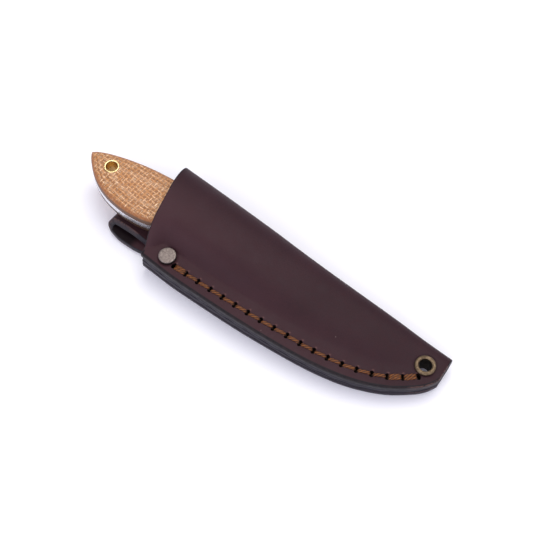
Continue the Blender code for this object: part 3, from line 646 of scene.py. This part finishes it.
def sheath_middle():
    """The leather's middle surface: rows of points per station, and which columns carry the tongue."""
    front, back = mouth_columns()
    front_share = [(v - CREST[0]) / (SEAM_DEPTH - CREST[0]) for v in front]
    back_share = [(v - BACK_FOLD[0]) / (SEAM_DEPTH - BACK_FOLD[0]) for v in back]
    fold_steps = 16
    stations = EDGE_STEPS + list(np.linspace(1.4, FOLD_LENGTH - 1.4, 276))
    stations += [FOLD_LENGTH - d for d in reversed(EDGE_STEPS)]
    rows = []
    for x_fold in stations:
        share = x_fold / FOLD_LENGTH
        x_seam = mix(SEAM_START, SEAM_OUTLINE[-1][0], share)
        depth = seam_depth(x_seam)
        crest = mix(*CREST, share ** FOLD_TAPER)
        back_fold = mix(*BACK_FOLD, share ** FOLD_TAPER)
        top = read(CROWN, x_fold) - HALF
        middle = (top + HALF) / 2
        across = [(mix(crest, depth, s), front_height(share, mix(crest, depth, s), depth, x_fold, x_seam))
                  for s in front_share]
        for step in range(2 * fold_steps):
            angle = math.pi / 2 * (1 + step / fold_steps)
            upper = step < fold_steps
            reach = crest if upper else back_fold
            rise = (top - middle) if upper else (middle - HALF)
            across.append((reach + (reach - HALF) * math.cos(angle), middle + rise * math.sin(angle)))
        across += [(mix(back_fold, depth, s), HALF) for s in back_share]
        rows.append([(x_fold + (x_seam - x_fold) * v / depth, -v, z) for v, z in across])
    first = len(front) + 2 * fold_steps + back.index(TONGUE_FAR)
    last = len(front) + 2 * fold_steps + back.index(TONGUE_NEAR)
    return rows, range(first, last + 1)


def tongue_rows(mouth):
    """Rows of the belt loop's tongue from the mouth row outwards, under, and back to its riveted end."""
    bend = []
    for step in range(7):
        angle = math.pi * (0.5 + step / 6)
        bend.append((LOOP_END + LOOP_RADIUS * math.cos(angle), -0.05 + LOOP_RADIUS * math.sin(angle),
                     mix(37.0, 39.4 + LOOP_SAG * 0.6, step / 6)))
    sag = [(x, z, near + LOOP_SAG) for x, z, near in LOOP_RETURN[:4]] + LOOP_RETURN[4:]
    path = LOOP_START + bend + sag
    columns = []
    for start in mouth:
        far = (-start[1] - TONGUE_FAR) / (TONGUE_NEAR - TONGUE_FAR)
        points = [start]
        for k, (x, z, near) in enumerate(path):
            settle = smoothstep((k + 1) / 3)
            curl = LOOP_CURL * math.sin(math.pi * min(1.0, (k + 1) / 6)) * max(0.0, far) ** 11
            x_here = max(mix(start[0] - 8.5, 0.0, settle) + x, LOOP_END - LOOP_RADIUS)
            points.append((x_here, -mix(TONGUE_FAR, near, far), z + curl))
        fine = catmull(points[:-1], 9)
        end = Vector(points[-1])
        run = end - fine[-1]
        count = int(run.length / 0.8)
        fine += [fine[-1] + run * (i / count) * (1 - 0.9 / run.length) for i in range(1, count + 1)]
        fine += [end - run.normalized() * d for d in reversed(EDGE_STEPS[:-1])]
        columns.append(fine)
    return [list(row) for row in zip(*columns)][1:]


def stitch_places():
    """Hole centres with the seam's direction, evenly spaced along the inset outline."""
    line = []
    for i, point in enumerate(OUTLINE):
        along = direction(OUTLINE, i)
        line.append(point + Vector((along.y, -along.x)) * read(SEAM_INSET, point.x))
    line = [p for p in line if p.x >= STITCH_START]
    lengths = lengths_along(line)
    xs = [p.x for p in line]
    ys = [p.y for p in line]
    total = float(np.interp(STITCH_END, xs, lengths))
    holes = []
    for i in range(STITCHES + 1):
        reach = total * i / STITCHES
        x, y = (float(np.interp(reach, lengths, c)) for c in (xs, ys))
        ahead = [float(np.interp(reach + 0.5, lengths, c)) for c in (xs, ys)]
        turn = math.atan2(-(ahead[1] - y), ahead[0] - x)
        holes.append((x, -y, turn))
    return holes


HOLES = stitch_places()


def wrinkle(x, y):
    """Smooth uneven height in millimetres, for leather that isn't perfectly even."""
    return (0.045 * math.sin(x * 0.13 + y * 0.21 + 1.3) + 0.025 * math.sin(x * 0.31 - y * 0.17 + 0.4)
            + 0.010 * math.sin(x * 0.53 + y * 0.61))


def dent(x, y):
    """How far the front surface is pulled in by the thread and the fasteners, and raised at burrs."""
    drop = 0.0
    burr = 0.0
    for hx, hy, turn in HOLES:
        dx, dy = x - hx, y - hy
        if dx * dx + dy * dy > 25.0:
            continue
        along = dx * math.cos(turn) + dy * math.sin(turn)
        across = -dx * math.sin(turn) + dy * math.cos(turn)
        drop += 0.20 * math.exp(-(along / 1.5) ** 2 - (across / 1.5) ** 2)
        drop += 0.07 * math.exp(-(along / 3.0) ** 4 - (across / 0.8) ** 2)
        burr += math.exp(-((along - 0.25) / 0.42) ** 2 - ((across - SLIT_LENGTH / 2 - 0.15) / 0.42) ** 2)
    for spot, radius, depth in ((SEAM_RIVET, 3.6, 0.30), (EYELET, 4.2, 0.22)):
        reach = math.hypot(x - spot[0], y + spot[1])
        drop += depth * math.exp(-(max(0.0, reach - radius) / 0.7) ** 2)
    return drop, burr


def sheath_surface():
    """The middle surface as a bmesh, which of its vertices are the front panel's, and its outward side."""
    rows, tongue = sheath_middle()
    middle = bmesh.new()
    grid = [[middle.verts.new(p) for p in row] for row in rows]
    for one, two in zip(grid, grid[1:]):
        for j in range(len(one) - 1):
            middle.faces.new((one[j], one[j + 1], two[j + 1], two[j]))
    previous = [grid[0][j] for j in tongue]
    for row in tongue_rows([rows[0][j] for j in tongue]):
        current = [middle.verts.new(p) for p in row]
        for j in range(len(current) - 1):
            middle.faces.new((previous[j + 1], previous[j], current[j], current[j + 1]))
        previous = current
    middle.verts.index_update()
    middle.normal_update()
    front_columns = len(mouth_columns()[0])
    on_front = [False] * len(middle.verts)
    for row in grid:
        for vert in row[:front_columns]:
            on_front[vert.index] = True
    up = 1.0 if grid[len(grid) // 2][front_columns // 2].normal.z > 0 else -1.0
    return middle, on_front, up


def edge_rounding(outer, front, loose):
    """How far the leather's cut edge is rounded; loose is 1 on the belt loop."""
    if outer:
        return EDGE_ROUND if front else mix(EDGE_ROUND, LOOP_ROUND, loose)
    return mix(INNER_ROUND, LOOP_ROUND, loose)


def build_sheath(leather, slit):
    """The leather as two faces either side of its middle surface, closed along the cut edges."""
    middle, on_front, up = sheath_surface()
    border = []
    for edge in middle.edges:
        if edge.is_boundary:
            a, b = (v.co for v in edge.verts)
            border += [a.lerp(b, share) for share in (0.0, 0.25, 0.5, 0.75)]
    tree = nearest_of(border)
    bm = bmesh.new()
    layer = {key: bm.verts.layers.float.new(key) for key in ("rim", "edge", "burr", "inner")}
    sides = ([], [])
    for vert in middle.verts:
        x, y, _ = vert.co
        front = on_front[vert.index]
        away = tree.find(vert.co)[2]
        loose = smoothstep((6.0 - x - 0.29 * y) / 3.0)
        uneven = wrinkle(x, y) * min(1.0, away / 4.0)
        at_seam = smoothstep(3.0 - y - seam_depth(x)) if x > SEAM_START else 0.0
        edge_reach = mix(0.46, 1.0, at_seam)
        rim_share = max(0.12, smoothstep((4.0 - x) / 3.0), 0.7 * smoothstep((x - 133.0) / 4.0))
        for side, made in zip((up, -up), sides):
            outer = side == up
            bend = edge_rounding(outer, front, loose)
            inside = max(0.0, 1.0 - away / bend)
            half = HALF - bend + bend * math.sqrt(max(0.0, 1.0 - inside * inside))
            reach = half
            burr = 0.0
            if outer and front:
                drop, burr = dent(x, y)
                reach = half - drop * min(1.0, away / 1.5) + uneven + 0.28 * burr
            new = bm.verts.new(vert.co + vert.normal * side * reach)
            shown = rim_share if front or not outer else 0.0
            new[layer["rim"]] = math.exp(-((away - 0.22) / 0.20) ** 2) * shown
            new[layer["edge"]] = smoothstep((edge_reach - away) / 0.16)
            new[layer["burr"]] = min(1.0, burr * 0.9)
            # This mask carries painted shade for the inside of the belt loop, strongest towards the mouth.
            new[layer["inner"]] = 0.92 * smoothstep((4.0 - x) / 4.0) * (outer and not front)
            made.append(new)
    for face in middle.faces:
        for side, made in enumerate(sides):
            corners = [made[v.index] for v in face.verts]
            bm.faces.new(corners if side == 0 else list(reversed(corners)))
    for edge in middle.edges:
        if edge.is_boundary:
            a, b = edge.verts
            bm.faces.new((sides[0][a.index], sides[0][b.index], sides[1][b.index], sides[1][a.index]))
    middle.free()
    cutter = hole_cutter()
    for x, v in LOOP_RIVETS:
        add_prism(cutter, x, -v, (DRILL[0], -0.5), LOOP_RIVET_RADIUS + 0.05, 32)
        add_prism(cutter, x, -v, (0.5, 2 * LEATHER), RIVET_HOLE, 24)
    mesh = carve(to_mesh(bm, "sheath_leather_look"), cutter, leather, slit)
    finish_piece(mesh, "sheath_leather", SHEATH_PART, sharp=50.0)


# ==== seam ====

def hole_cutter():
    """The slits and the bores for the rivet and the eyelet, through the whole seam."""
    cutter = bmesh.new()
    for x, y, turn in HOLES:
        add_prism(cutter, x, y, DRILL, 0.5, 14, (SLIT_WIDTH, SLIT_LENGTH), turn)
    add_prism(cutter, SEAM_RIVET[0], -SEAM_RIVET[1], DRILL, RIVET_HOLE, 24)
    add_prism(cutter, EYELET[0], -EYELET[1], DRILL, EYELET_HOLE, 40)
    return cutter


def welt_rails(setback, start):
    """Outer and inner edge of a welt that fills the seam and the tip."""
    outline = [p for p in OUTLINE if p.x >= SEAM_START]
    outer, inner = [], []
    for i, point in enumerate(outline):
        along = direction(outline, i)
        normal = Vector((along.y, -along.x))
        far = point + normal * (setback + 0.05 * math.sin(point.x * 0.7 + start * 9))
        near = point + normal * 10.5
        if near.x > 121.5:
            share = smoothstep((point.x - 124.0) / 12.5)
            near = Vector((mix(121.5, 127.5, share), mix(19.5, 5.4, share)))
        if i == 0:
            far.x += start
            near.x += start
        outer.append(far)
        inner.append(near)
    outer += [Vector((142.25, 9.0)), Vector((141.6, 6.0))]
    inner += [Vector((131.0, 5.4)), Vector((135.0, 5.4))]
    return outer, inner


def build_welt(node, bottom, top, setback, start, edge, slit):
    """A welt strip between two heights, its outer edge set back a little from the seam's."""
    bm = bmesh.new()
    rings = []
    for far, near in zip(*welt_rails(setback, start)):
        into = (near - far).normalized()
        low, high = bottom(far.x), top(far.x)
        middle = (low + high) / 2
        bend = min(0.07, (high - low) * 0.4)
        profile = [(bend, low), (bend * 0.3, low + bend * 0.3), (0.0, low + bend), (-0.04, middle),
                   (0.0, high - bend), (bend * 0.3, high - bend * 0.3), (bend, high)]
        ring = [bm.verts.new((far.x + into.x * d, -(far.y + into.y * d), z)) for d, z in profile]
        ring.append(bm.verts.new((near.x, -near.y, top(near.x))))
        ring.append(bm.verts.new((near.x, -near.y, bottom(near.x))))
        rings.append(ring)
    for one, two in zip(rings, rings[1:]):
        join_rings(bm, one, two)
    bm.faces.new(rings[0])
    bm.faces.new(list(reversed(rings[-1])))
    mesh = carve(to_mesh(bm, node + "_look"), hole_cutter(), edge, slit)
    finish_piece(mesh, node, SHEATH_PART, sharp=35.0)


def build_welts(edge, slit):
    def split(x):
        return max(LEATHER + 0.55, stack_height(x) - LEATHER - 0.05 - WELT_FRONT)

    build_welt("welt_back", lambda x: LEATHER + FIT, split, 0.14, 0.1, edge, slit)
    build_welt("welt_front", lambda x: split(x) + FIT, lambda x: stack_height(x) - LEATHER - FIT, 0.26, 0.5,
               edge, slit)


def strand(bm, layers, points, phase, narrowing=1.0):
    """One waxed strand along a path: flattened round section of three twisted plies, closed at both ends."""
    twist_layer, sunk_layer = layers
    width = THREAD_WIDTH * narrowing
    fine = catmull(points, 6)
    lengths = lengths_along(fine)
    sides = 18
    rings = []
    for i, point in enumerate(fine):
        along = direction(fine, i)
        across = Vector((-along.y, along.x, 0.0)).normalized()
        up = along.cross(across)
        up = up if up.z >= 0 or abs(along.z) > 0.9 else -up
        end = min(1.0, lengths[i] / 0.3, (lengths[-1] - lengths[i]) / 0.3)
        swell = 0.55 + 0.45 * math.sqrt(max(0.0, end))
        surface = stack_height(point.x)
        inside = min(surface - 0.1 - point.z, point.z + 0.1) if point.z < surface else -1.0
        ring = []
        for j in range(sides):
            angle = 2 * math.pi * j / sides
            ply = math.cos(3 * angle + lengths[i] * THREAD_TWIST + phase)
            reach = swell * (1 + 0.085 * ply)
            vert = bm.verts.new(point + across * math.cos(angle) * width * reach
                                + up * math.sin(angle) * THREAD_HEIGHT * reach)
            # twist runs from 0 in the grooves to 1 on the crests; the thread's colour uses it for painted
            # shade and highlight.
            vert[twist_layer] = 0.5 + 0.5 * ply
            # sunk measures how far the thread lies inside the leather, for painted shade in its colour.
            vert[sunk_layer] = min(1.0, max(0.0, inside / 0.5))
            ring.append(vert)
        rings.append(ring)
    for one, two in zip(rings, rings[1:]):
        join_rings(bm, one, two)
    bm.faces.new(list(reversed(rings[0])))
    bm.faces.new(rings[-1])


def sideways(turn):
    return Vector((-math.sin(turn), math.cos(turn), 0.0))


def stitch_path(first, second, front, aside=0.0, lift=0.0):
    """From one hole over the surface into the next; aside and lift move a doubled stitch."""
    ax, ay, turn_a = first
    bx, by, turn_b = second
    a = Vector((ax, ay, 0.0)) + sideways(turn_a) * (aside - STITCH_SLANT)
    b = Vector((bx, by, 0.0)) + sideways(turn_b) * (aside + STITCH_SLANT)
    along = (b - a).normalized()
    side = 1.0 if front else -1.0

    def at(point, height):
        level = stack_height(point.x) - 0.12 if front else 0.12
        return Vector((point.x, point.y, level + side * height))

    top = THREAD_HEIGHT * 0.55 + lift
    rise = [(0.42, -2.8), (0.56, -1.6), (0.80, -0.6), (1.24, top - 0.26), (1.85, top)]
    spots = [(a + along * d, h) for d, h in rise] + [(a.lerp(b, 0.5), top + 0.05)]
    spots += [(b - along * d, h) for d, h in reversed(rise)]
    return [at(p, h) for p, h in spots]


def build_threads(material):
    """The two strands of the saddle stitch; at both ends the run is doubled back."""
    last = STITCHES - 1
    for letter, parity in (("a", 0), ("b", 1)):
        bm = bmesh.new()
        layers = (bm.verts.layers.float.new("twist"), bm.verts.layers.float.new("sunk"))
        for i in range(STITCHES):
            front = i % 2 == parity
            runs = [(front, 0.0, 0.0, 1.3 * i)]
            if i in (0, last - 1, last):
                aside = 0.56 if front else -0.56
                runs = [(True, aside, 0.02, 1.7 * i + parity), (False, aside, 0.02, 2.1 * i + parity)]
            for on_front, aside, lift, phase in runs:
                strand(bm, layers, stitch_path(HOLES[i], HOLES[i + 1], on_front, aside, lift), phase)
        for x, y, turn in HOLES:
            side = 0.34 if parity == 0 else -0.34
            across = sideways(turn) * side
            low, high = 2.2, stack_height(x) - 2.2
            heights = (low, mix(low, high, 0.33), mix(low, high, 0.66), high)
            strand(bm, layers, [Vector((x, y, z)) + across for z in heights], 0.0, 0.8)
        name = f"saddle_thread_{letter}"
        finish_piece(to_mesh(bm, name), f"stitch_thread_{letter}", SHEATH_PART, material,
                     60.0, name)


# ==== fasteners ====

def build_seam_rivet(silver):
    level = stack_height(SEAM_RIVET[0])
    under, top = level - 0.20, level + 1.70
    reach = SEAM_RIVET_RADIUS
    cap = [(0.0, top), (1.8, top - 0.01), (3.2, top - 0.03), (3.62, top - 0.12), (reach, top - 0.45),
           (reach, under), (1.55, under), (1.55, level + 0.98), (0.0, level + 0.98)]
    post = [(0.0, level + 0.9), (1.4, level + 0.9), (1.4, -FIT), (reach, -FIT), (3.75, -0.55), (3.1, -1.0),
            (1.5, -1.1), (0.0, -1.1)]
    turned_piece("seam_rivet_cap", SHEATH_PART, round_profile(cap, 0.30), 56, SEAM_RIVET,
                 silver)
    turned_piece("seam_rivet_post", SHEATH_PART, round_profile(post, 0.18), 48, SEAM_RIVET,
                 silver)


def build_loop_rivets(silver):
    reach = LOOP_RIVET_RADIUS
    post = [(0.0, 3.2), (2.5, 3.17), (reach, 2.85), (1.4, 2.85), (1.4, -2.6), (0.0, -2.6)]
    cap = [(0.0, -2.68), (1.48, -2.68), (1.48, -2.1), (reach, -2.1), (reach, -2.72), (2.9, -2.95),
           (0.0, -2.95)]
    for number, spot in enumerate(LOOP_RIVETS, start=1):
        for half, profile, bend in (("post", post, 0.12), ("cap", cap, 0.14)):
            turned_piece(f"loop_rivet_{number}_{half}", SHEATH_PART, round_profile(profile, bend), 40, spot,
                         silver)


def build_eyelet(antique):
    level = stack_height(EYELET[0])
    face, crown = level - 0.10, level + 1.18
    reach = EYELET_RADIUS
    ring = [(2.75, 2.0), (2.62, crown - 0.85), (2.78, crown - 0.28), (3.42, crown), (4.08, crown - 0.22),
            (reach, crown - 0.80), (reach, face), (3.5, face), (3.5, -0.75), (4.1, -0.75), (4.05, -1.25),
            (3.6, -1.4), (3.1, -1.3), (2.85, -1.0)]
    washer = [(reach, -0.2), (reach, -0.62), (3.6, -0.65), (3.6, -0.05), (4.3, -0.05), (reach, -0.12)]
    turned_piece("eyelet", SHEATH_PART, round_ring(ring, 0.30), 64, EYELET, antique, 50.0)
    turned_piece("eyelet_washer", SHEATH_PART, washer, 56, EYELET, antique)


# ==== knife ====

BELLY = catmull(HANDLE_BELLY, 8)
SPINE = catmull(list(reversed(HANDLE_SPINE)), 8)


def handle_sections():
    """Matching points on the belly and on the spine, close together at the pommel and the front."""
    span = HANDLE_FRONT - HANDLE_BELLY[0][0]
    steps = [4.0 * (i / 24) ** 2 for i in range(24)]
    steps += list(np.arange(4.0, span - 3.0, 0.75))
    steps += [span - 3.0 * (1 - i / 10) ** 1.4 for i in range(11)]
    pairs = []
    for step in steps:
        share = step / span
        low_x = mix(HANDLE_BELLY[0][0], HANDLE_FRONT, share)
        high_x = mix(HANDLE_SPINE[-1][0], HANDLE_FRONT, share)
        pairs.append((Vector((low_x, read(BELLY, low_x))), Vector((high_x, read(SPINE, high_x)))))
    return pairs


# Distances from a scale's edge of the points that carry its rounding.
ACROSS_STEPS = [0.0, 0.05, 0.14, 0.27, 0.45, 0.68, 0.95, 1.25, 1.6, 2.0, 2.6, 3.3]


def across_points(a, b):
    """Points from a to b, close together near both."""
    width = (b - a).length
    shrink = min(1.0, width / 9.0)
    near = [d * shrink for d in ACROSS_STEPS]
    inner = list(np.linspace(near[-1], width - near[-1], 16))[1:-1]
    places = near + inner + [width - d for d in reversed(near)]
    return [a.lerp(b, d / width) for d in places]


def shell(rows_top, rows_bottom):
    """A closed body from two matching grids of points."""
    bm = bmesh.new()
    tops = [[bm.verts.new(p) for p in row] for row in rows_top]
    bottoms = [[bm.verts.new(p) for p in row] for row in rows_bottom]
    for grid, flip in ((tops, False), (bottoms, True)):
        for one, two in zip(grid, grid[1:]):
            for j in range(len(one) - 1):
                corners = (one[j], one[j + 1], two[j + 1], two[j])
                bm.faces.new(tuple(reversed(corners)) if flip else corners)
    last = len(tops[0]) - 1
    for one, two, three, four in zip(tops, tops[1:], bottoms, bottoms[1:]):
        bm.faces.new((one[0], two[0], four[0], three[0]))
        bm.faces.new((one[last], three[last], four[last], two[last]))
    for top, bottom in ((tops[0], bottoms[0]), (tops[-1], bottoms[-1])):
        for j in range(last):
            bm.faces.new((top[j], top[j + 1], bottom[j + 1], bottom[j]))
    return bm


def scale_height(x, away, fall):
    """Height of a scale's outer face over the tang, slightly crowned and falling away at its edge.

    It sinks a little at the handle's front end, to clear the leather inside the sheath.
    """
    share = (x - 5.0) / (HANDLE_FRONT - 5.0)
    full = mix(SCALE_THICKNESS, SCALE_FRONT_THICKNESS, min(1.0, max(0.0, share)))
    height = full - SCALE_CROWN * max(0.0, 1 - away / 9.0) ** 2 - 0.5 * smoothstep((x - 46.0) / 5.0)
    if away < SCALE_FALL_WIDTH:
        inside = 1 - away / SCALE_FALL_WIDTH
        height -= min(fall, full - 1.1) * (1 - math.sqrt(max(0.0, 1 - inside ** 2)))
    return height


def knife_cutter():
    """The bores for the pins and the lanyard tube."""
    cutter = bmesh.new()
    for x, v in PINS.values():
        add_prism(cutter, x, -v, (-12.0, 12.0), PIN_RADIUS + FIT, 40)
    add_prism(cutter, LANYARD[0], -LANYARD[1], (-12.0, 12.0), TUBE_RADIUS + FIT, 48)
    return cutter


def build_scales(micarta):
    pairs = handle_sections()
    border = [p for pair in pairs for p in pair]
    first, last = pairs[0], pairs[-1]
    border += [first[0].lerp(first[1], i / 12) for i in range(13)]
    border += [last[0].lerp(last[1], i / 60) for i in range(61)]
    tree = nearest_of([p.to_3d() for p in border])
    low = TANG / 2 + FIT
    for name, side in (("scale_front", 1), ("scale_back", -1)):
        top, bottom = [], []
        for a, b in pairs:
            spots = across_points(a, b)
            heights = [low + scale_height(p.x, tree.find(p.to_3d())[2], SCALE_FALL[name]) for p in spots]
            top.append([(p.x, -p.y, side * z) for p, z in zip(spots, heights)])
            bottom.append([(p.x, -p.y, side * low) for p in spots])
        mesh = carve(to_mesh(shell(top, bottom), name + "_look"), knife_cutter(), micarta, micarta)
        finish_piece(mesh, name, KNIFE_PART, sharp=50.0)


def blade_sections():
    """Matching points on the edge side and the spine side, from pommel to point."""
    pairs = handle_sections()
    pairs += [(Vector((x, v)), Vector((x, 8.55))) for x, v in ((52.7, 25.7), (53.6, 25.6), (55.4, 25.6))]
    edge = catmull(BLADE_EDGE, 10)
    spine = catmull([(55.0, 8.5)] + BLADE_SPINE, 10)
    for x in list(np.linspace(56.5, 117.0, 84)) + [117.6, 118.0, 118.3, 118.5]:
        pairs.append((Vector((x, read(edge, x))), Vector((x, min(read(spine, x), read(edge, x) - 0.02)))))
    return pairs


def build_blade(steel):
    """Blade and tang as one plate, ground on both sides to a fine edge and thinning to the point."""
    tip = Vector(BLADE_EDGE[-1])
    half = TANG / 2
    top, bottom = [], []
    for a, b in blade_sections():
        width = (b - a).length
        to_tip = max(0.02, (tip - a).length)
        reach = min(GRIND * min(1.0, to_tip / 16.0), width * 0.6)
        places = [reach * s for s in (0.0, 0.06, 0.16, 0.30, 0.48, 0.68, 0.85, 1.0)]
        places += list(np.linspace(reach, width, 14))[1:]
        row = []
        for d in places:
            point = a.lerp(b, d / width)
            body = half * mix(0.5, 1.0, min(1.0, to_tip / 20.0))
            ground = mix(0.05, body, min(1.0, d / reach))
            share = smoothstep((a.x - 55.4) / 1.8)
            row.append((point.x, -point.y, mix(half, ground, share)))
        top.append(row)
        bottom.append([(x, y, -z) for x, y, z in row])
    mesh = carve(to_mesh(shell(top, bottom), "blade_look"), knife_cutter(), steel, steel)
    finish_piece(mesh, "blade", KNIFE_PART, sharp=22.0)


def build_pins(brass):
    for name, (x, v) in PINS.items():
        length = TANG / 2 + scale_height(x, 9.0, 0.0)
        pin = [(0.0, length), (PIN_RADIUS, length - 0.02), (PIN_RADIUS, 0.02 - length), (0.0, -length)]
        turned_piece(name, KNIFE_PART, round_profile(pin, 0.10), 48, (x, v), brass)


def build_tube(brass):
    length = TANG / 2 + SCALE_THICKNESS + 0.12
    half_ring = [(TUBE_BORE, 0.0), (TUBE_BORE, length - 0.55), (TUBE_BORE + 0.10, length - 0.16),
                 (TUBE_BORE + 0.30, length), (TUBE_RADIUS - 0.10, length), (TUBE_RADIUS, length - 0.12),
                 (TUBE_RADIUS, 0.0)]
    ring = half_ring + [(r, -z) for r, z in reversed(half_ring)][1:-1]
    turned_piece("lanyard_tube", KNIFE_PART, round_ring(ring, 0.10), 64, LANYARD, brass, 50.0)


# ==== floor, light and camera ====

def around(azimuth, elevation, distance):
    """A place round the object; azimuth 0 is the camera's side, 90 is to its right."""
    turn = VIEW_AZIMUTH + math.radians(azimuth)
    rise = math.radians(elevation)
    level = math.cos(rise)
    return Vector((math.sin(turn) * level, -math.cos(turn) * level, math.sin(rise))) * distance


def add_light(name, place, size, power, color):
    light = bpy.data.lights.new(name, 'AREA')
    light.shape = 'DISK'
    light.size = size
    light.energy = power
    light.color = color
    obj = bpy.data.objects.new(name, light)
    obj.location = place
    obj.rotation_euler = (-place).to_track_quat('-Z', 'Y').to_euler()
    put_in_scene(obj)


def build_stage():
    """Pale floor, soft light, and surroundings that are bright but for a dim patch high up behind."""
    mesh = bpy.data.meshes.new("floor")
    reach = 2.5
    mesh.from_pydata([(-reach, -reach, 0), (reach, -reach, 0), (reach, reach, 0), (-reach, reach, 0)], [],
                     [(0, 1, 2, 3)])
    n = Nodes("floor_paper")
    paper = n.noise(0.02, 2.0, 0.5)
    mesh.materials.append(n.finish(n.blend(paper, (0.93, 0.93, 0.93), (0.96, 0.96, 0.96)), 0.7,
                                   Emission_Color=(0.80, 0.78, 1.0, 1.0), Emission_Strength=0.09))
    floor = bpy.data.objects.new("floor", mesh)
    put_in_scene(floor)
    world = bpy.data.worlds.new("studio")
    world.use_nodes = True
    tree = world.node_tree
    background = tree.nodes["Background"]
    background.inputs["Color"].default_value = (0.87, 0.86, 1.0, 1.0)
    ray = tree.nodes.new('ShaderNodeTexCoord')
    behind = tree.nodes.new('ShaderNodeVectorMath')
    behind.operation = 'DOT_PRODUCT'
    behind.inputs[1].default_value = around(180.0, 62.0, 1.0)
    fade = tree.nodes.new('ShaderNodeMapRange')
    for key, number in (("From Min", 0.50), ("From Max", 0.94), ("To Min", 1.16), ("To Max", 0.12)):
        fade.inputs[key].default_value = number
    tree.links.new(ray.outputs["Generated"], behind.inputs[0])
    tree.links.new(behind.outputs["Value"], fade.inputs["Value"])
    tree.links.new(fade.outputs["Result"], background.inputs["Strength"])
    bpy.context.scene.world = world
    add_light("key", around(152.0, 68.0, 1.6), 1.3, 15.0, (1.0, 0.985, 0.96))
    add_light("front", around(-35.0, 40.0, 1.8), 1.2, 5.0, (0.96, 0.97, 1.0))
    bpy.context.scene.view_settings.view_transform = 'Standard'


def build_camera():
    camera = bpy.data.cameras.new("camera")
    camera.lens = VIEW_LENS
    camera.sensor_width = 36.0
    camera.clip_start = 0.01
    obj = bpy.data.objects.new("camera", camera)
    away = around(0.0, VIEW_ELEVATION, VIEW_DISTANCE)
    obj.location = Vector(VIEW_TARGET) + away
    obj.rotation_euler = (-away).to_track_quat('-Z', 'Y').to_euler()
    put_in_scene(obj)
    bpy.context.scene.camera = obj


def main():
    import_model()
    build_stage()
    build_camera()
    leather = leather_material()
    slit = slit_material()
    edge = edge_material()
    silver = antique_material("antique_silver_look", (0.31, 0.262, 0.238), (0.19, 0.155, 0.138), 1.5)
    antique = antique_material("antique_brass_look", (0.27, 0.195, 0.118), (0.125, 0.088, 0.054), 0.7)
    build_sheath(leather, slit)
    build_welts(edge, slit)
    build_threads(thread_material())
    build_seam_rivet(silver)
    build_loop_rivets(silver)
    build_eyelet(antique)
    build_scales(micarta_material())
    build_blade(steel_material())
    brass = brass_material()
    build_pins(brass)
    build_tube(brass)


main()
